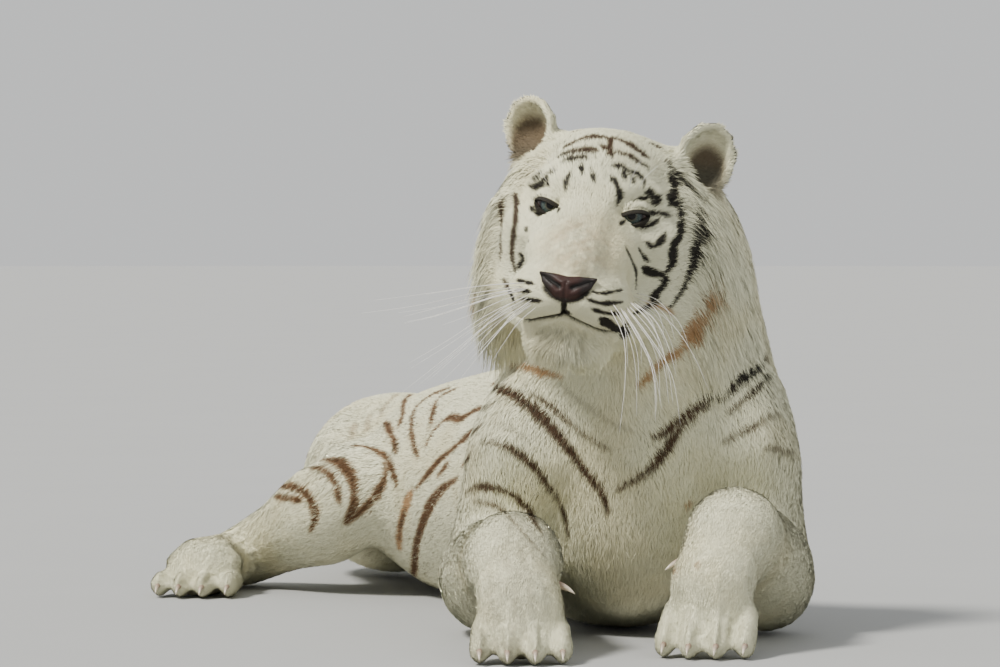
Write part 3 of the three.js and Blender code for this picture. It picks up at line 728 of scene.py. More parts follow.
def barLine(bars, share):
    # one bar round a line of joints, found from inside the body, where it falls on its regions out of sight
    path = smoothPath(fromModel(joints[bars["line"]]), 0.01)
    lengths = np.concatenate([[0], np.cumsum(np.linalg.norm(np.diff(path, axis=0), axis=1))])
    low, high = bars["angles"]
    first = low + markDice.uniform(-1, 1) * barMake["angle"]
    last = high - (high - low) * markDice.uniform(*barMake["short"])
    slant = bars["slant"] * markDice.uniform(*barMake["slant"])
    bend = markDice.uniform(*barMake["bend"])
    made = []
    for t in np.linspace(0, 1, barMake["steps"]):
        angle = math.radians(first + (last - first) * t)
        place = share * lengths[-1] + (t + bend * math.sin(3.1 * t)) * slant * mm
        i = min(int(np.searchsorted(lengths, place)), len(path) - 1)
        tangent = unit(path[min(i + 1, len(path) - 1)] - path[max(i - 1, 0)])
        up = unit(np.array([0, 0, 1.0]) - tangent * tangent[2])
        side = np.cross(tangent, up)
        way = up * math.cos(angle) + side * math.copysign(1, side[0]) * math.sin(angle)
        hit, _, face, _ = surface.ray_cast(Vector(path[i]), Vector(way))
        if hit is not None and regionNames[faceOwner[face]] in bars["on"] and not seenFromFront(hit):
            made.append(tuple(hit))
    return np.array(made).reshape(-1, 3)


def filled(line, widths):
    # more points where two of them lie apart, with a width at each
    made, sizes = [], []
    for a, b, wa, wb in zip(line[:-1], line[1:], widths[:-1], widths[1:]):
        length = np.linalg.norm(b - a)
        steps = 1
        if length < markMake["gap"] * mm:
            steps = max(1, math.ceil(length / (markMake["spacing"] * mm)))
        for t in np.arange(steps) / steps:
            made.append(a + (b - a) * t)
            sizes.append(wa + (wb - wa) * t)
    return np.array(made + [line[-1]]), np.array(sizes + [widths[-1]])


def addMark(rows, line, width):
    # a mark along a line, narrower at both ends and a little uneven
    if len(line) < 2:
        return
    t = np.linspace(0, 1, len(line))
    taper = markMake["ends"] + (1 - markMake["ends"]) * np.minimum(1, np.minimum(t, 1 - t) * 5)
    uneven = 1 + markMake["uneven"] * np.sin(t * markDice.uniform(5, 14) + markDice.uniform(0, 6))
    rows.append(np.column_stack(filled(line, (width / 2 + markMake["grow"]) * mm * taper * uneven)))


def markTree(rows):
    # the places of one kind of mark, with a tree that finds the nearest
    rows = np.concatenate(rows)
    tree = KDTree(len(rows))
    for index, row in enumerate(rows[:, :3].tolist()):
        tree.insert(row, index)
    tree.balance()
    return tree, rows


markRows = {"dark": [], "faint": [], "tan": []}
for kind, strokes in {"dark": darkMarks, "faint": faintMarks, "tan": tanMarks}.items():
    for width, *path in strokes:
        addMark(markRows[kind], frontLine(path), width)
for bars in barSets.values():
    reach = sum(np.linalg.norm(np.diff(joints[bars["line"]], axis=0), axis=1))
    count = int(reach * (bars["share"][1] - bars["share"][0]) / bars["spacing"])
    for share in np.linspace(*bars["share"], count):
        line = barLine(bars, share)
        width = bars["width"] * markDice.uniform(*barMake["width"])
        jumps = np.nonzero(np.linalg.norm(np.diff(line, axis=0), axis=1) > markMake["gap"] * mm)[0]
        for run in np.split(line, jumps + 1):
            if len(run) > 3:
                addMark(markRows["dark"], run, width)
for width, *path in sideMarks:
    addMark(markRows["dark"], sideLine(path), width)
tailTip = smoothPath(fromModel(joints["tail"][-2:]), 0.01)[-6:]
markRows["dark"].append(np.column_stack([tailTip, np.full(len(tailTip), markMake["tailTip"] * mm)]))
markTrees = {kind: markTree(rows) for kind, rows in markRows.items()}
print("markings laid out:", sum(len(rows) for _, rows in markTrees.values()), "places")


def nearestMark(kind, points, soft):
    # 1 inside a mark of one kind, 0 outside it, eased over soft
    tree, rows = markTrees[kind]
    place, away = np.array([tree.find(p)[1:] for p in points.tolist()]).T
    return np.clip((rows[place.astype(int), 3] - away) / soft + 0.5, 0, 1)


def lieOfBody(points, lines):
    # the run of the nearest joints, the closest counting most
    total = np.zeros_like(points)
    for line in lines:
        path = fromModel(joints[line])
        for a, b in zip(path[:-1], path[1:]):
            along = np.clip((points - a) @ (b - a) / ((b - a) @ (b - a)), 0, 1)
            away = np.linalg.norm(points - a - along[:, None] * (b - a), axis=1)
            total += unit(b - a) / (away[:, None] / 0.1 + 0.1) ** 6
    return unit(total)


def overNose(head):
    # under 1 beneath the nose leather
    return np.linalg.norm((head - [0, -146, -90]) / [30, 16, 19], axis=1)


# What each point of the skin needs for its coat: how it lies, its length, width, height and tufts per area.
points = readPoints(skin.data)
normals = readNormals(skin.data)
head = toHead(points)
isHead = isOn(owner, "head")
isEar = isOn(owner, "ear")
ruffness = isOn(owner, "head", "neck") * smoothstep(22, 80, head[:, 1]) * smoothstep(90, 10, head[:, 2])
ruffEnds = smoothstep(190, 150, head[:, 1]) * smoothstep(-212, -172, head[:, 2])
ruffness *= ruffEnds * smoothstep(40, 80, np.abs(head[:, 0]))
ruffness = relax(ruffness[:, None], edges, 0.5, 12)[:, 0]
beard = isHead * chinness(head)
nearLid = smoothstep(16, 2, lidDistance)

lie = np.zeros_like(points)
for name, region in regions.items():
    chosen = isOn(owner, name)
    lie[chosen] = lieOfBody(points[chosen], region["lie"])
outwards = unit(head - [0, -150, -88])  # hair of the face lies away from the nose
outwards += ruffness[:, None] * np.array([0, 0.1, -1.3]) + beard[:, None] * np.array([0, 0.5, -0.3])
earward = head - [0, 96, 30]
headLie = np.where(isEar[:, None], unit(earward), unit(outwards)) @ headAxes.T
lie[isHead | isEar] = headLie[isHead | isEar]
lie = relax(lie, edges, 0.6, 30)
lie = unit(lie - normals * (lie * normals).sum(axis=1, keepdims=True))

# Tufts of the head, in mm: at the nose, and what is added away from it, in the ruff and on the chin.
headTufts = {"length": (4.5, 8, 48, 15), "height": (2, 3.5, 12, 6), "shorterByLids": 2.5}


def overHead(values, farAway):
    nose, away, ruff, chin = values
    return nose + away * smoothstep(70, farAway, fromNose(head)) + ruff * ruffness + chin * beard


faceLength = overHead(headTufts["length"], 190) - headTufts["shorterByLids"] * nearLid
faceHeight = overHead(headTufts["height"], 200)
tuftFields = np.column_stack([
    np.where(isHead, faceLength, blended("length", 30) + 22 * ruffness),
    np.where(isHead, 0.75 + 0.4 * ruffness, blended("width", 30)),
    np.where(isHead, faceHeight, blended("depth", 25)) * 0.8,
    np.where(isHead, 64 - 28 * ruffness - 16 * beard, blended("each", 20)),
])
tuftLength, tuftWidth, tuftHeight, tuftEach = relax(tuftFields, edges, 0.5, 15).T
baldMake = {"lids": 4.6, "lips": 2.6, "nose": 0.9}  # mm from the lids and lips, and share of the nose
bald = (lidDistance < baldMake["lids"]) | (lipDistance < baldMake["lips"])
bald |= overNose(head) < baldMake["nose"]
tuftEach = np.where(bald, 0, tuftEach)

# The dark streak from the inner corner of each eye, in the head's mm.
tearLine = [(33, -12, -12), (30, -22, -20), (29, -32, -28)]


def coatMarks(points, lids, lips, ears, spread):
    # three columns: dark hair and painted shade, tan hair, and how brown the dark is. lids and lips: distances
    # in mm
    own = toHead(points)
    across, back, up = own.T
    body = np.clip(smoothstep(-190, -240, up) + smoothstep(130, 190, back), 0, 1)
    offFace = markSoftness["offFace"] * mm * body
    dark = nearestMark("dark", points, markSoftness["dark"] * mm + spread + offFace)
    faint = nearestMark("faint", points, markSoftness["faint"] * mm)
    tan = nearestMark("tan", points, markSoftness["tan"] * mm) * 0.85
    bridge = np.linalg.norm((own - [0, -96, -46]) / [1, 1.6, 1], axis=1)
    tan = np.maximum(tan, smoothstep(70, 22, bridge) * (0.2 + 0.16 * wobble(points, 0.014, 31)))
    rim = smoothstep(5.8, 4.2, lids) * smoothstep(-4, -1, lids)
    tears = [pathDistance(own, np.array(tearLine) * [side, 1, 1]) for side in (1, -1)]
    corner = smoothstep(3.6, 1.8, np.min(tears, axis=0))
    lipsNoseRimAndShade = smoothstep(5.2, 3, lips)
    # dark round and under the lower half of the nose leather: a dark rim of fur round it, and painted shade on
    # the skin seen through the nostrils
    lipsNoseRimAndShade = np.maximum(lipsNoseRimAndShade, smoothstep(1.2, 0.95, overNose(own)) * smoothstep(-80, -88, up))
    # grey hairs on the bridge and the chin
    chin = smoothstep(-138, -152, up) * smoothstep(46, 20, np.abs(across)) * smoothstep(-30, -70, back)
    grey = np.maximum(smoothstep(74, 24, bridge) * 0.75, chin) * (0.22 + 0.2 * wobble(points, 0.008, 32))
    for other in (faint * 0.3, grey, rim, corner * 0.85, lipsNoseRimAndShade):
        dark = np.maximum(dark, other)
    rust = smoothstep(-0.42, -0.22, points[:, 1])  # the bars of the flanks, back and tail are rustier
    tan = np.maximum(tan, dark * rust)
    dark = dark * (1 - 0.14 * rust)
    brown = body + 0.8 * smoothstep(55, 80, up) + 0.6 * smoothstep(-85, -98, across)
    # the ears' own black, with the painted shade deep in their cups
    dark = np.maximum(dark, ears[:, 0])
    tan = np.maximum(tan, ears[:, 1])
    return np.column_stack([dark, tan, np.clip(brown, 0, 1)])


earMiddles = {1: np.array([126, 104, 76]), -1: np.array([-111, 104, 86])}  # 1: left, -1: right


def earMarks(points, normals):
    # inside the cup: painted shade deep down and greyish pink above; outside: black with a pale spot
    own = toHead(points)
    front = -(normals @ headAxes)[:, 1]
    cupShadeAndEarColours = np.zeros((len(points), 2))
    for side, middle in earMiddles.items():
        away = np.linalg.norm((own - middle - [-4 * side, 20, -20]) * [1.15, 1, 0.8], axis=1)
        inner = (np.abs(own[:, 0] - middle[0]) < 48) & (own[:, 2] > 25)
        cup = inner * smoothstep(0.0, 0.4, front)
        back = inner * smoothstep(0.05, -0.25, front) * smoothstep(42, 58, own[:, 2])
        spot = np.linalg.norm(own - middle - [10 * side, 36, 8], axis=1)
        # deep in the cup the dark is painted shade; on the back of the ear it is its own black
        dark = np.maximum(cup * smoothstep(38, 22, away) * 0.9, back * smoothstep(13, 18, spot) * 0.92)
        pink = cup * smoothstep(40, 28, away) * 0.22
        cupShadeAndEarColours = np.maximum(cupShadeAndEarColours, np.column_stack([dark, pink]))
    away = [np.linalg.norm(own - middle - [0, 4, 3], axis=1) for middle in earMiddles.values()]
    return cupShadeAndEarColours * smoothstep(62, 52, np.min(away, axis=0))[:, None]  # nothing on the rest of the head


ears = earMarks(points, normals)
skinMarks = coatMarks(points, lidDistance, lipDistance, ears, 0.6 * mm)
attribute(skin.data, "marks", np.column_stack([skinMarks, np.zeros(len(points))]))

# Tufts. Each is a leaf of two triangles, or four where the hair is long, rooted under mm below the skin.
# jitter and lock: how unevenly they lie, one by one and in locks of lockSize metres. lean: how they roll.
# droop and hang: how far long hair and the ruff fall. marksAt: where along a tuft its two shades are taken,
# up to marksReach mm. glint: how unevenly they shine. longFrom, ground and stray are in mm. waist and shoulder:
# where a leaf is widest and where a long one narrows, as shares of its reach, height and droop.
tuftMake = {"under": 0.6, "jitter": 0.24, "lean": 0.45, "lock": 0.3, "lockSize": 0.022, "droop": 0.35,
            "hang": 0.75, "longFrom": 26, "patch": 0.003, "ground": 0.6, "stray": 0.5, "marksAt": (0.3, 0.72),
            "marksReach": 11, "rounded": 0.5, "glint": 0.1, "waist": (0.42, 0.66, 0.18),
            "shoulder": (0.74, 0.95, 0.55), "narrow": 0.7}
# The points of a leaf by their height along it and their side, and its triangles.
shortLeaf = {"heights": (0, 0.55, 0.55, 1), "sides": (0, -1, 1, 0), "faces": ((0, 1, 2), (1, 3, 2))}
longLeaf = {"heights": (0, 0.45, 0.45, 0.75, 0.75, 1), "sides": (0, -1, 1, -1, 1, 0),
            "faces": ((0, 1, 2), (1, 4, 2), (1, 3, 4), (3, 5, 4))}
triangles = readTriangles(skin.data)
ahead = toHead(points[triangles].mean(axis=1))[:, 1] < 45  # in front of the line between face and ruff
coatPieces = {"coat_face": isOn(faceOwner, "head") & ahead, "coat_ruff": isOn(faceOwner, "head") & ~ahead}
for piece, names in {
    "coat_ears": ("ear",), "coat_neck": ("neck",), "coat_chest": ("chest",), "coat_belly": ("belly",),
    "coat_rump": ("rump",), "coat_upper_arms": ("arm",), "coat_forearms": ("forearm",),
    "coat_paws": ("paw",), "coat_thighs": ("thigh",), "coat_hind_legs": ("shank", "foot"),
    "coat_toes": ("toe",), "coat_tail": ("tail",),
}.items():
    coatPieces[piece] = isOn(faceOwner, *names)


def unwrapped(chosen):
    # the chosen part of the skin, laid out flat on its own: the place of each corner of its faces
    used, faces = np.unique(triangles[chosen], return_inverse=True)
    flat = addObject("unwrap", meshFrom("unwrap", points[used], faces.reshape(-1, 3)))
    flat.data.uv_layers.new(name="OFBake")
    openForEditing(flat)
    bpy.ops.uv.smart_project(angle_limit=math.radians(66), island_margin=0.004, area_weight=0.3)
    bpy.ops.object.mode_set(mode="OBJECT")
    places = np.empty(len(flat.data.loops) * 2, np.float32)
    flat.data.uv_layers["OFBake"].uv.foreach_get("vector", places)
    bpy.data.objects.remove(flat)
    return places.reshape(-1, 3, 2)


def growTufts(name, chosen, rng):
    corners = triangles[chosen]
    a, b, c = (points[corners[:, k]] for k in range(3))
    area = np.linalg.norm(np.cross(b - a, c - a), axis=1) / 2
    wanted = np.cumsum(area * 1e4 * tuftEach[corners].mean(axis=1))  # each is per square centimetre
    count = int(wanted[-1])
    spots = (np.arange(count) + rng.random(count)) / count * wanted[-1]
    pick = np.searchsorted(wanted, spots).clip(0, len(wanted) - 1)
    a, b = rng.random((2, count))
    flip = a + b > 1
    a, b = np.where(flip, 1 - a, a), np.where(flip, 1 - b, b)
    corner = np.stack([1 - a - b, a, b], axis=1)[:, :, None]

    def atRoot(values):
        return (values[corners[pick]].reshape(count, 3, -1) * corner).sum(axis=1)

    root = atRoot(points)
    normal = unit(atRoot(normals))
    way = atRoot(lie)
    fields = np.column_stack([tuftLength, tuftWidth, tuftHeight, lidDistance, lipDistance, ruffness])
    length, width, height, lids, lips, ruff = atRoot(fields).T
    # locks: neighbours lean together, and each tuft strays a little on its own
    across = np.cross(normal, way)
    sway = tuftMake["lock"] * wobble(root, tuftMake["lockSize"], 21)
    sway = sway + tuftMake["jitter"] * rng.normal(size=count)
    way = unit(way + across * sway[:, None])
    way = unit(way - normal * (way * normal).sum(axis=1, keepdims=True))
    across = np.cross(normal, way)
    roll = tuftMake["lean"] * rng.normal(size=count)[:, None]
    side = across * np.cos(roll) + normal * np.sin(roll)
    length = length * rng.uniform(0.7, 1.25, count) * (1 + (0.15 + 0.35 * ruff) * wobble(root, 0.02, 22))
    height = np.minimum(height * rng.uniform(0.55, 1.1, count), 0.55 * length)
    reach = np.sqrt(np.maximum(length ** 2 - height ** 2, 1))
    length, height, reach, half = (v[:, None] * mm for v in (length, height, reach, width * 0.5))
    long = length[:, 0] > tuftMake["longFrom"] * mm
    straightDown = np.array([0, 0, -1.0])
    down = straightDown * tuftMake["droop"] * length * long[:, None] * (0.2 + np.abs(normal[:, 2:]) * 0.3)
    # the ruff hangs free of the cheeks
    hang = tuftMake["hang"] * ruff[:, None]
    flow = unit(way * (1 - hang) + (straightDown + normal * 0.3) * hang)
    base = root - normal * tuftMake["under"] * mm
    tip = root + flow * reach + normal * height + down
    along, high, fall = tuftMake["waist"]
    middle = root + (way * 0.5 + flow * 0.5) * reach * along + normal * height * high + down * fall
    along, high, fall = tuftMake["shoulder"]
    upper = root + flow * reach * along + normal * height * high + down * fall
    stray = rng.normal(size=(count, 3)) * tuftMake["stray"] * mm
    marksReach = flow * np.minimum(length, tuftMake["marksReach"] * mm)
    ears = earMarks(root, normal)
    low, high = (coatMarks(root + marksReach * along + stray, lids, lips, ears, 0.8 * mm)
                 for along in tuftMake["marksAt"])
    waist = (middle - side * half, middle + side * half)
    shoulders = (upper - side * half * tuftMake["narrow"], upper + side * half * tuftMake["narrow"])
    made, faces, tips, owners, turned, start = [], [], [], [], [], 0
    for kind, rows, leaf in (
        (~long, (base, *waist, tip), shortLeaf),
        (long, (base, *waist, *shoulders, tip), longLeaf),
    ):
        each = np.nonzero(kind)[0]
        first = np.arange(len(each))[:, None, None] * len(rows) + start
        made.append(np.stack([row[each] for row in rows], axis=1).reshape(-1, 3))
        faces.append((first + np.array(leaf["faces"])).reshape(-1, 3))
        tips.append(np.tile(leaf["heights"], len(each)))
        turned.append(np.tile(leaf["sides"], len(each)))
        owners.append(np.repeat(each, len(rows)))
        start += len(each) * len(rows)
    made, faces, tips, owners, turned = (np.concatenate(rows) for rows in (made, faces, tips, owners, turned))
    made[:, 2] = np.maximum(made[:, 2], tuftMake["ground"] * mm * (1 + tips))
    mesh = meshFrom(name, made, faces)
    # shaded as one soft coat, each tuft a little rounded
    facing = normal + way * 0.25 + rng.normal(size=(count, 3)) * tuftMake["glint"]
    facing = facing[owners] + side[owners] * turned[:, None] * tuftMake["rounded"]
    mesh.normals_split_custom_set_from_vertices(unit(facing).tolist())
    share = smoothstep(0, 0.6, tips)[:, None]
    attribute(mesh, "marks", np.column_stack([low[owners] * (1 - share) + high[owners] * share, tips]))
    # its patch of the bake's map is at the root's place on the skin's unwrap
    places = (unwrapped(chosen)[pick] * corner).sum(axis=1)
    offset = np.column_stack([(np.arange(len(made)) % 2) - 0.5, tips - 0.5]) * tuftMake["patch"]
    bakeMap = mesh.uv_layers.new(name="OFBake")
    bakeMap.uv.foreach_set("vector", (places[owners] + offset)[faces.ravel()].astype(np.float32).ravel())
    piece = addObject(name, mesh)
    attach(piece, "root")
    print(name, count, "tufts,", len(faces), "triangles")
    return piece


coat = []
for seed, (name, chosen) in enumerate(coatPieces.items(), 40):
    coat.append(growTufts(name, chosen, np.random.default_rng(seed)))
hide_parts(*fleshNodes)
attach(skin, "root")

# Eyeballs, with the bulge of the cornea, in mm. gaze: where both irises point, in the world. pupil: as a share
# of the iris. outScale: what the distance from the iris's middle is divided by in the mesh's own values.
ballMake = {"rings": 56, "sides": 72, "iris": 12.5, "pupil": 0.36, "bulge": 0.9, "gaze": (-0.07, -1, -0.03),
            "outScale": 4.0}


def makeEye(side):
    rings, sides = ballMake["rings"], ballMake["sides"]
    radius = eyeMake["radius"]
    angle = np.linspace(0, math.pi, rings) ** 1.25 / math.pi ** 0.25  # finer at the front
    turn = np.arange(sides) * 2 * math.pi / sides
    irisAngle = math.asin(ballMake["iris"] / radius)
    share = angle / irisAngle
    grown = radius + ballMake["bulge"] * smoothstep(1.25, 0.2, share)
    ring = np.repeat(angle, sides)
    around = np.tile(turn, rings)
    local = np.column_stack([np.sin(ring) * np.cos(around), -np.cos(ring), np.sin(ring) * np.sin(around)])
    local *= np.repeat(grown, sides)[:, None]
    gaze = Vector(ballMake["gaze"]).normalized()
    axes = np.array(gaze.to_track_quat("-Y", "Z").to_matrix())
    middle = fromHead(eyeSpots[(side + 1) // 2])
    made = middle + local * mm @ axes.T
    k = np.arange(sides)
    n = (k + 1) % sides
    starts = np.arange(rings - 1) * sides
    faces = [np.column_stack([j + k, j + n, j + sides + n, j + sides + k]) for j in starts]
    mesh = meshFrom("eyeball", made, np.concatenate(faces)[:, ::-1])
    bm = bmesh.new()
    bm.from_mesh(mesh)
    bmesh.ops.remove_doubles(bm, verts=bm.verts, dist=1e-6)
    bm.to_mesh(mesh)
    bm.free()
    own = (readPoints(mesh) - middle) @ axes
    out = np.arccos(np.clip(-own[:, 1] / np.linalg.norm(own, axis=1), -1, 1)) / irisAngle
    spin = np.arctan2(own[:, 2], own[:, 0])
    turns = [np.cos(spin) * 0.5 + 0.5, np.sin(spin) * 0.5 + 0.5]
    attribute(mesh, "iris", np.column_stack([out / ballMake["outScale"], *turns, np.ones(len(out))]))
    word = "left" if side > 0 else "right"
    piece = addObject("eyeball_" + word, mesh)
    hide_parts("eye_" + word)
    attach(piece, "root")
    return piece


eyes = [makeEye(side) for side in (1, -1)]

# The nose leather, remeshed from its solid and shaped, in mm. flatten: its height, about middle. wings and dip:
# how far its outer corners rise and its middle sinks. Strokes as on the face.
noseMake = {"voxel": 1.0, "widen": 1.3, "grow": 1.2, "flatten": 0.86, "middle": -92, "half": 36, "wings": 5,
            "dip": 2.5}
noseStrokes = {
    "nostril": {"path": [(9, -156, -89), (17, -154, -84), (25, -150, -80), (30, -144, -80)], "radius": 3.6,
                "press": 4.5},
    "wing": {"path": [(12, -156, -97), (24, -152, -92), (33, -146, -88)], "radius": 4, "press": -1.5},
    "middle": {"path": [(0, -158, -80), (0, -160, -96), (0, -158, -113)], "radius": 1.8, "press": 1.8,
               "central": True},
}


def makeNose():
    bm = readSolid("nose")
    mesh = bpy.data.meshes.new("nose_leather")
    bm.to_mesh(mesh)
    bm.free()
    piece = addObject("nose_leather", mesh)
    withModifier(piece, "REMESH", mode="VOXEL", voxel_size=noseMake["voxel"] * mm)
    withModifier(piece, "TRIANGULATE")
    mesh = piece.data
    edges = readEdges(mesh)
    writePoints(mesh, relax(readPoints(mesh), edges, 0.5, 24))
    own = toHead(readPoints(mesh) + readNormals(mesh) * noseMake["grow"] * mm)
    own[:, 0] *= noseMake["widen"]
    outer = (np.abs(own[:, 0]) / noseMake["half"]) ** 2
    top = smoothstep(-98, -84, own[:, 2])
    flat = noseMake["middle"] + (own[:, 2] - noseMake["middle"]) * noseMake["flatten"]
    own[:, 2] = flat + top * (noseMake["wings"] * outer - noseMake["dip"])
    writePoints(mesh, fromHead(own))
    tree = BVHTree.FromObject(piece, bpy.context.evaluated_depsgraph_get())
    shift = np.zeros(len(own))
    opening = np.zeros(len(own))
    for name, stroke in noseStrokes.items():
        for path in strokePaths(stroke, 3, tree):
            press = falloff(pathDistance(own, path), stroke["radius"])
            shift += stroke["press"] * press
            if name == "nostril":
                opening = np.maximum(opening, press)
    writePoints(mesh, readPoints(mesh) - readNormals(mesh) * shift[:, None] * mm)
    writePoints(mesh, relax(readPoints(mesh), edges, 0.3, 2))
    # Painted shade: the nostrils are coloured near black, standing in for the shade in their hollows. The
    # leather is also darker at its sides and along its lower edge.
    edge = smoothstep(13, 23, np.abs(own[:, 0])) + smoothstep(-101, -107, own[:, 2])
    dark = np.clip(smoothstep(0.25, 0.7, opening) + 0.8 * edge, 0, 1)
    attribute(mesh, "marks", np.column_stack([dark, np.zeros((len(dark), 3))]))
    mesh.shade_smooth()
    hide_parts("nose")
    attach(piece, "root")
    return piece


nose = makeNose()


def tubes(name, paths, radii, sides):
    # round, tapered rods along the paths, joined in one mesh with pointed ends
    made, faces, shares, start = [], [], [], 0
    for path, radius in zip(paths, radii):
        path = np.array(path, float)
        count = len(path)
        tangent = unit(np.gradient(path, axis=0))
        first = unit(np.cross(tangent, [0.31, 0.2, 0.93]))
        second = np.cross(tangent, first)
        for j in range(count):
            for k in range(sides):
                a = 2 * math.pi * k / sides
                made.append(path[j] + (first[j] * math.cos(a) + second[j] * math.sin(a)) * radius[j])
                shares.append(j / (count - 1))
        for j in range(count - 1):
            for k in range(sides):
                n = (k + 1) % sides
                a, b, c, d = (start + j * sides + k, start + j * sides + n, start + (j + 1) * sides + n,
                              start + (j + 1) * sides + k)
                faces += [(a, b, c), (a, c, d)]
        for j, order in ((0, -1), (count - 1, 1)):
            ring = [start + j * sides + k for k in range(sides)]
            for k in range(1, sides - 1):
                faces.append((ring[0], ring[k], ring[k + 1])[::order])
        start += count * sides
    mesh = meshFrom(name, np.array(made), faces)
    attribute(mesh, "marks", np.column_stack([np.zeros((len(made), 3)), shares]))
    return addObject(name, mesh)


# Claws, curved down out of the toes, and the dewclaws inside the wrists.
clawMake = {"length": 16, "root": 4.2, "curl": 7, "rings": 9, "sides": 10, "dewRoot": 6.5, "dewLength": 28,
            "tip": 0.35, "low": 2.5}


def makeClaws():
    paths, radii, nodes = [], [], []
    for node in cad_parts:
        if not node.startswith(("claw_", "dewclaw_")):
            continue
        low, high = (np.array(v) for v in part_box(node))
        middle = (low + high) / 2
        dew = node.startswith("dew")
        long, root = clawMake["length"], clawMake["root"]
        if dew:
            long, root = clawMake["dewLength"], clawMake["dewRoot"]
            way = np.array([1.0 if node.endswith("right") else -1.0, -0.5, 0])
        else:
            leg = ("fore" if "fore" in node else "hind") + ("Right" if "right" in node else "Left")
            way = np.subtract(joints[leg][-1], joints[leg][-2]).astype(float)
        way = unit(way * [1, 1, 0])
        t = np.linspace(0, 1, clawMake["rings"])
        path = middle + way * ((t - 0.5) * long * mm)[:, None]
        path[:, 2] += (clawMake["curl"] * (0.5 - 1.5 * t ** 2)) * mm
        paths.append(aboveFloor(path, clawMake["low"]))
        radii.append(np.maximum(root * (1 - t) ** 0.7, clawMake["tip"]) * mm)
        nodes.append(node)
    piece = tubes("claws", paths, radii, clawMake["sides"])
    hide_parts(*nodes)
    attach(piece, "root")
    return piece


claws = makeClaws()

# Whiskers, as seen from the front: (across, up) in mm, from the pad to the tip. Those between are mixed from
# these. spread: how far each of a whisker's points strays.
whiskerMake = {"each": 24, "root": 0.55, "tip": 0.12, "rings": 12, "forward": 34, "sunk": 3,
               "browForward": 14, "browRoot": 0.35, "spread": ((4, 5), (7, 8), (12, 12), (18, 17))}
whiskerKeys = {
    "left": [[(58, -112), (89, -120), (115, -144), (126, -177)],
             [(50, -114), (77, -136), (91, -167), (99, -200)],
             [(40, -128), (56, -155), (72, -183), (75, -226)],
             [(28, -122), (48, -150), (58, -190), (64, -240)]],
    "right": [[(-84, -92), (-126, -93), (-170, -98), (-214, -103)],
              [(-84, -103), (-126, -114), (-170, -130), (-210, -140)],
              [(-78, -112), (-108, -132), (-134, -160), (-160, -186)],
              [(-72, -124), (-100, -146), (-124, -176), (-148, -210)]],
}
browKeys = [[(46, 24), (52, 44), (62, 62)], [(58, 24), (68, 42), (84, 56)], [(-44, 36), (-50, 54), (-62, 70)],
            [(-56, 34), (-68, 50), (-86, 60)]]


def makeWhiskers():
    rng = np.random.default_rng(77)
    paths, radii = [], []

    def add(flat, forward, root):
        flat = smoothPath(flat, 12)
        line = frontLine([tuple(flat[0]), tuple(flat[0] + [0.5, 0.5])])
        if len(line) == 0:
            return
        start = line[0]
        t = np.linspace(0, 1, whiskerMake["rings"])
        steps = np.linspace(0, len(flat) - 1, whiskerMake["rings"])
        flat = np.column_stack([np.interp(steps, np.arange(len(flat)), flat[:, k]) for k in (0, 1)])
        moved = flat - flat[0]
        path = start + np.column_stack([moved[:, 0], -forward * np.sin(1.9 * t), moved[:, 1]]) * mm
        path[0] += np.array([0, whiskerMake["sunk"], 0]) * mm
        paths.append(path)
        radii.append((root + (whiskerMake["tip"] - root) * t ** 0.8) * mm)

    for keys in whiskerKeys.values():
        keys = np.array(keys, float)
        for place in np.linspace(0, len(keys) - 1.001, whiskerMake["each"]):
            i = int(place)
            flat = keys[i] + (keys[i + 1] - keys[i]) * (place - i)
            flat = flat + rng.normal(size=2) * np.array(whiskerMake["spread"]) * 0.7
            stretch = rng.uniform(0.7, 1.5)
            flat = flat[0] + (flat - flat[0]) * stretch
            forward = whiskerMake["forward"] * rng.uniform(0.3, 1.2)
            add(flat, forward, whiskerMake["root"] * rng.uniform(0.7, 1.1))
    for flat in browKeys:
        add(np.array(flat, float), whiskerMake["browForward"], whiskerMake["browRoot"])
    piece = tubes("whiskers", paths, radii, 5)
    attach(piece, "root")
    return piece


whiskers = makeWhiskers()
print("eyes, nose, claws and whiskers made")


# Shader groups that more than one material uses.
def addNode(tree, kind, inputs=(), **settings):
    node = tree.nodes.new(kind)
    for key, value in settings.items():
        setattr(node, key, value)
    for name, value in dict(inputs).items():
        if isinstance(value, bpy.types.NodeSocket):
            tree.links.new(value, node.inputs[name])
        else:
            node.inputs[name].default_value = value
    return node


def mixed(tree, share, a, b):
    # colour a, going to b as share goes from 0 to 1
    return addNode(tree, "ShaderNodeMix", {0: share, 6: a, 7: b}, data_type="RGBA").outputs[2]


def worked(tree, operation, a, b=0.0):
    return addNode(tree, "ShaderNodeMath", {0: a, 1: b}, operation=operation).outputs[0]


def stepped(tree, value, low, high, toLow=0.0, toHigh=1.0):
    return addNode(tree, "ShaderNodeMapRange", {0: value, 1: low, 2: high, 3: toLow, 4: toHigh},
                   interpolation_type="SMOOTHSTEP").outputs[0]


def noise(tree, place, scale, detail):
    return addNode(tree, "ShaderNodeTexNoise", {"Vector": place, "Scale": scale, "Detail": detail}).outputs[0]


def shaderGroup(name, inputs, outputs, build):
    group = bpy.data.node_groups.new(name, "ShaderNodeTree")
    for socket, kind, value in inputs:
        made = group.interface.new_socket(socket, in_out="INPUT", socket_type=kind)
        if value is not None:
            made.default_value = value
    for socket, kind in outputs:
        group.interface.new_socket(socket, in_out="OUTPUT", socket_type=kind)
    source = group.nodes.new("NodeGroupInput").outputs
    target = group.nodes.new("NodeGroupOutput").inputs
    for socket, value in build(group, source).items():
        group.links.new(value, target[socket])
    return group


def rgb(r, g, b):
    return (r, g, b, 1.0)


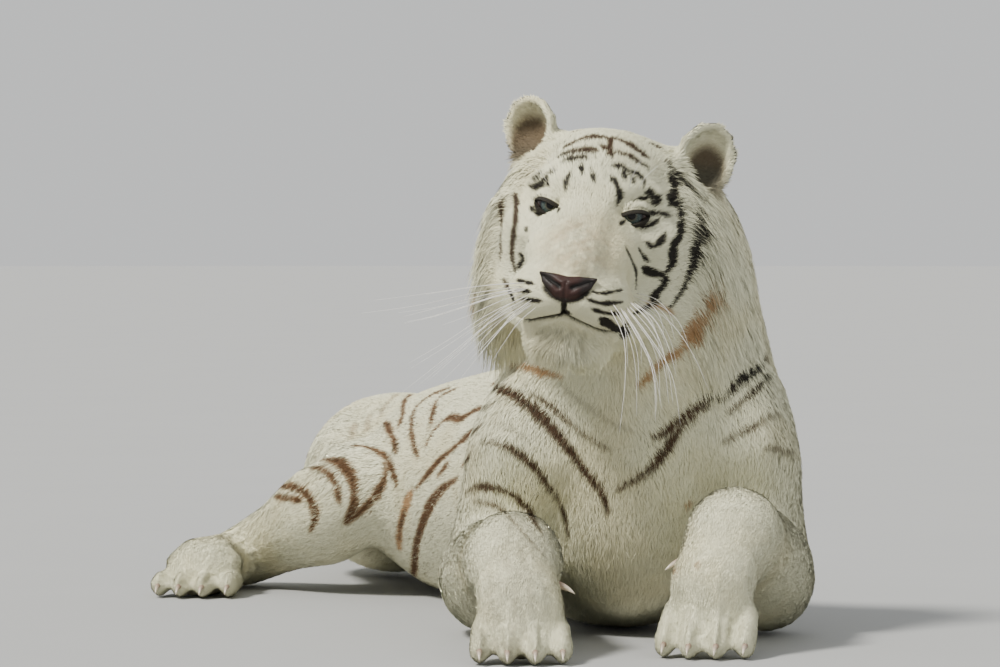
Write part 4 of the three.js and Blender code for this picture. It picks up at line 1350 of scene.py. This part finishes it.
coatColours = {"root": rgb(0.735, 0.705, 0.48), "tip": rgb(0.90, 0.892, 0.65), "warm": rgb(0.80, 0.72, 0.43),
               "black": rgb(0.009, 0.0065, 0.005), "brown": rgb(0.058, 0.028, 0.012),
               "tan": rgb(0.34, 0.15, 0.042)}


def buildHairColour(tree, source):
    # cream hair with darker roots, and its dark and tan markings
    channels = addNode(tree, "ShaderNodeSeparateColor", {0: source["Marks"]}).outputs
    place = addNode(tree, "ShaderNodeTexCoord").outputs["Object"]
    cloud = noise(tree, place, 9.0, 4.0)
    strand = noise(tree, place, 420.0, 2.0)
    cream = mixed(tree, source["Share"], source["Root"], source["Tip"])
    cream = mixed(tree, stepped(tree, cloud, 0.42, 0.72, 0.0, 0.55), cream, source["Warm"])
    cream = mixed(tree, stepped(tree, strand, 0.35, 0.75, 0.22, 0.0), cream, source["Root"])
    dark = mixed(tree, channels[2], source["Black"], source["Brown"])
    dark = mixed(tree, worked(tree, "MULTIPLY", strand, 0.03), dark, source["Root"])
    colour = mixed(tree, channels[1], cream, source["Tan"])
    return {"Colour": mixed(tree, channels[0], colour, dark)}


hairInputs = [("Marks", "NodeSocketColor", None), ("Share", "NodeSocketFloat", 0.0)]
hairInputs += [(key.capitalize(), "NodeSocketColor", None) for key in coatColours]
hairColour = shaderGroup("hairColour", hairInputs, [("Colour", "NodeSocketColor")], buildHairColour)


def buildGrain(tree, source):
    # fine uneven grain in two sizes
    place = addNode(tree, "ShaderNodeTexCoord").outputs["Object"]
    coarse = noise(tree, place, source["Scale"], 5.0)
    fine = noise(tree, place, worked(tree, "MULTIPLY", source["Scale"], 3.7), 3.0)
    return {"Height": worked(tree, "ADD", coarse, worked(tree, "MULTIPLY", fine, 0.5)), "Mask": coarse}


grain = shaderGroup("grain", [("Scale", "NodeSocketFloat", 300.0)],
                    [("Height", "NodeSocketFloat"), ("Mask", "NodeSocketFloat")], buildGrain)


def newMaterial(name, **fixed):
    # fixed: numbers that are the same all over, set on the shader's own sockets
    material = bpy.data.materials.new(name)
    material.use_nodes = True
    shader = material.node_tree.nodes["Principled BSDF"]
    for socket, value in fixed.items():
        shader.inputs[socket.replace("_", " ")].default_value = value
    return material, material.node_tree


def addGroup(tree, group, inputs=()):
    return addNode(tree, "ShaderNodeGroup", inputs, node_tree=group)


def readLayer(tree, name):
    return addNode(tree, "ShaderNodeAttribute", attribute_name=name).outputs


def covered(material, colour, bump=(), roughness=None):
    # joins the colour, the roughness and a bump to the material's shader. Distance in bump is in metres
    tree = material.node_tree
    inputs = tree.nodes["Principled BSDF"].inputs
    tree.links.new(colour, inputs["Base Color"])
    if roughness is not None:
        tree.links.new(roughness, inputs["Roughness"])
    if bump:
        tree.links.new(addNode(tree, "ShaderNodeBump", bump).outputs[0], inputs["Normal"])
    return material


def hairMaterial(name, tipShare, grainScale, grainDepth):
    material, tree = newMaterial(name, Roughness=0.72, Specular_IOR_Level=0.25)
    marks = readLayer(tree, "marks")
    tip = worked(tree, "MULTIPLY_ADD", marks["Alpha"], tipShare[1])
    tip.node.inputs[2].default_value = tipShare[0]
    colours = {key.capitalize(): value for key, value in coatColours.items()}
    hair = addGroup(tree, hairColour, {"Marks": marks["Color"], "Share": tip, **colours})
    texture = addGroup(tree, grain, {"Scale": grainScale})
    # the underside of a tuft is lit as the coat round it is
    surface = addNode(tree, "ShaderNodeNewGeometry").outputs
    facing = stepped(tree, surface["Backfacing"], 0.0, 1.0, 1.0, -1.0)
    normal = addNode(tree, "ShaderNodeVectorMath", {0: surface["Normal"], "Scale": facing}, operation="SCALE")
    bump = {"Height": texture.outputs["Height"], "Distance": grainDepth * mm, "Normal": normal.outputs[0]}
    return covered(material, hair.outputs["Colour"], bump)


# Colours of the eye, from the pupil outwards.
eyeColours = {"pupil": rgb(0.001, 0.001, 0.001), "inner": rgb(0.07, 0.06, 0.035),
              "streak": rgb(0.018, 0.028, 0.028), "iris": rgb(0.075, 0.10, 0.09),
              "rim": rgb(0.02, 0.025, 0.03), "edge": rgb(0.008, 0.006, 0.005),
              "white": rgb(0.04, 0.022, 0.018)}


def eyeMaterial():
    material, tree = newMaterial(
        "wetEye", Roughness=0.2, Specular_IOR_Level=0.05, Coat_Weight=0.4, Coat_Roughness=0.03
    )
    channels = addNode(tree, "ShaderNodeSeparateColor", {0: readLayer(tree, "iris")["Color"]}).outputs
    out = worked(tree, "MULTIPLY", channels[0], ballMake["outScale"])  # 1 at the rim of the iris
    outwards = worked(tree, "MULTIPLY", out, 0.12)
    aroundIris = addNode(tree, "ShaderNodeCombineXYZ", {0: channels[1], 1: channels[2], 2: outwards})
    streaks = noise(tree, aroundIris.outputs[0], 26.0, 4.0)
    pupil = (ballMake["pupil"] - 0.03, ballMake["pupil"] + 0.03)
    iris = mixed(tree, stepped(tree, streaks, 0.35, 0.68), eyeColours["streak"], eyeColours["iris"])
    iris = mixed(tree, stepped(tree, out, 0.36, 0.62, 0.7, 0.0), iris, eyeColours["inner"])
    iris = mixed(tree, stepped(tree, out, 0.82, 0.97), iris, eyeColours["rim"])
    iris = mixed(tree, stepped(tree, out, *pupil), eyeColours["pupil"], iris)
    white = mixed(tree, stepped(tree, out, 1.05, 1.5), eyeColours["edge"], eyeColours["white"])
    colour = mixed(tree, stepped(tree, out, 0.97, 1.04), iris, white)
    texture = addGroup(tree, grain, {"Scale": 260.0})
    return covered(material, colour, {"Height": texture.outputs["Height"], "Distance": 0.02 * mm})


def noseMaterial():
    material, tree = newMaterial("noseLeather", Coat_Weight=0.08, Coat_Roughness=0.35, Specular_IOR_Level=0.3)
    place = addNode(tree, "ShaderNodeTexCoord").outputs["Object"]
    pebble = addNode(tree, "ShaderNodeTexVoronoi", {"Vector": place, "Scale": 620.0}).outputs["Distance"]
    mask = addGroup(tree, grain, {"Scale": 140.0}).outputs["Mask"]
    dark = addNode(tree, "ShaderNodeSeparateColor", {0: readLayer(tree, "marks")["Color"]}).outputs[0]
    red = mixed(tree, mask, rgb(0.016, 0.0045, 0.003), rgb(0.036, 0.010, 0.006))
    red = mixed(tree, stepped(tree, pebble, 0.3, 0.7, 0.0, 0.5), red, rgb(0.022, 0.006, 0.004))
    # near black where marks say so: painted shade in the nostrils, and the darker sides and lower edge of the
    # leather
    colour = mixed(tree, dark, red, rgb(0.008, 0.006, 0.005))
    bump = {"Height": pebble, "Distance": 0.35 * mm, "Strength": 0.8}
    return covered(material, colour, bump, stepped(tree, mask, 0.3, 0.7, 0.5, 0.68))


def hornMaterial():
    material, tree = newMaterial("clawHorn", Coat_Weight=0.3, Coat_Roughness=0.2)
    share = readLayer(tree, "marks")["Alpha"]
    texture = addGroup(tree, grain, {"Scale": 520.0}).outputs
    colour = mixed(tree, stepped(tree, share, 0.1, 0.9), rgb(0.30, 0.20, 0.14), rgb(0.62, 0.55, 0.44))
    colour = mixed(tree, stepped(tree, texture["Mask"], 0.4, 0.7, 0.0, 0.5), colour, rgb(0.20, 0.14, 0.10))
    bump = {"Height": texture["Height"], "Distance": 0.08 * mm}
    return covered(material, colour, bump, stepped(tree, texture["Mask"], 0.3, 0.7, 0.28, 0.45))


def whiskerMaterial():
    material, tree = newMaterial("whiskerHair", Roughness=0.35)
    share = readLayer(tree, "marks")["Alpha"]
    texture = addGroup(tree, grain, {"Scale": 260.0}).outputs
    colour = mixed(tree, share, rgb(0.80, 0.77, 0.70), rgb(0.93, 0.92, 0.89))
    colour = mixed(tree, stepped(tree, texture["Mask"], 0.5, 0.8, 0.0, 0.3), colour, rgb(0.6, 0.52, 0.4))
    return covered(material, colour, {"Height": texture["Height"], "Distance": 0.02 * mm})


def dress(piece, material):
    piece.data.materials.clear()
    piece.data.materials.append(material)


skinHair = hairMaterial("shortHair", (0.35, 0.0), 420.0, 1.1)
tuftHair = hairMaterial("tuftHair", (0.0, 1.0), 700.0, 0.15)
dress(skin, skinHair)
for piece in coat:
    dress(piece, tuftHair)
for piece in eyes:
    dress(piece, eyeMaterial())
dress(nose, noseMaterial())
dress(claws, hornMaterial())
dress(whiskers, whiskerMaterial())
print("materials placed")

# A plain pale floor, soft light and the camera.
stageMake = {"radius": 40, "sides": 96, "floor": (0.37, 0.375, 0.375), "uneven": 0.03,
             "sky": rgb(0.80, 0.81, 0.81), "skyStrength": 0.9}


def makeFloor():
    sides = stageMake["sides"]
    turn = np.linspace(0, 2 * math.pi, sides, endpoint=False)
    rim = np.column_stack([np.cos(turn), np.sin(turn), np.zeros(sides)]) * stageMake["radius"]
    faces = [(0, k + 1, (k + 1) % sides + 1) for k in range(sides)]
    floor = addObject("floor", meshFrom("floor", np.vstack([[0, 0, 0], rim]), faces))
    material, tree = newMaterial("paleFloor", Roughness=0.85)
    mask = addGroup(tree, grain, {"Scale": 3.0}).outputs["Mask"]
    low, high = 1 - stageMake["uneven"], 1 + stageMake["uneven"]
    darker, paler = (rgb(*(value * share for value in stageMake["floor"])) for share in (low, high))
    dress(floor, covered(material, mixed(tree, mask, darker, paler)))


def makeLight(name, at, spread, power, colour):
    # a distant soft light: spread is how wide it looks, in degrees
    lamp = bpy.data.lights.new(name, "SUN")
    lamp.angle, lamp.energy, lamp.color = math.radians(spread), power, colour
    light = addObject(name, lamp)
    light.location = at
    light.rotation_euler = (Vector((0.1, -0.3, 0.35)) - Vector(at)).to_track_quat("-Z", "Y").to_euler()


makeFloor()
makeLight("sun", (-2.6, -2.4, 4.6), 12, 5.2, (1.0, 0.97, 0.90))
makeLight("fill", (3.6, -4.0, 2.6), 50, 0.3, (0.92, 0.96, 1.0))
world = bpy.data.worlds.new("studio")
bpy.context.scene.world = world
world.use_nodes = True
world.node_tree.nodes["Background"].inputs["Color"].default_value = stageMake["sky"]
world.node_tree.nodes["Background"].inputs["Strength"].default_value = stageMake["skyStrength"]

# The camera looks from 6 m in front of the eyes, turned a little down and to its left.
cameraMake = {"lens": 168.5, "sensor": 36, "left": 1.126, "down": 1.512}
camera = addObject("camera", bpy.data.cameras.new("camera"))
camera.data.lens = cameraMake["lens"]
camera.data.sensor_width = cameraMake["sensor"]
camera.location = viewPoint
aim = Vector((-math.tan(math.radians(cameraMake["left"])), 1, -math.tan(math.radians(cameraMake["down"]))))
camera.rotation_euler = aim.to_track_quat("-Z", "Y").to_euler()
bpy.context.scene.camera = camera

print("stage set")
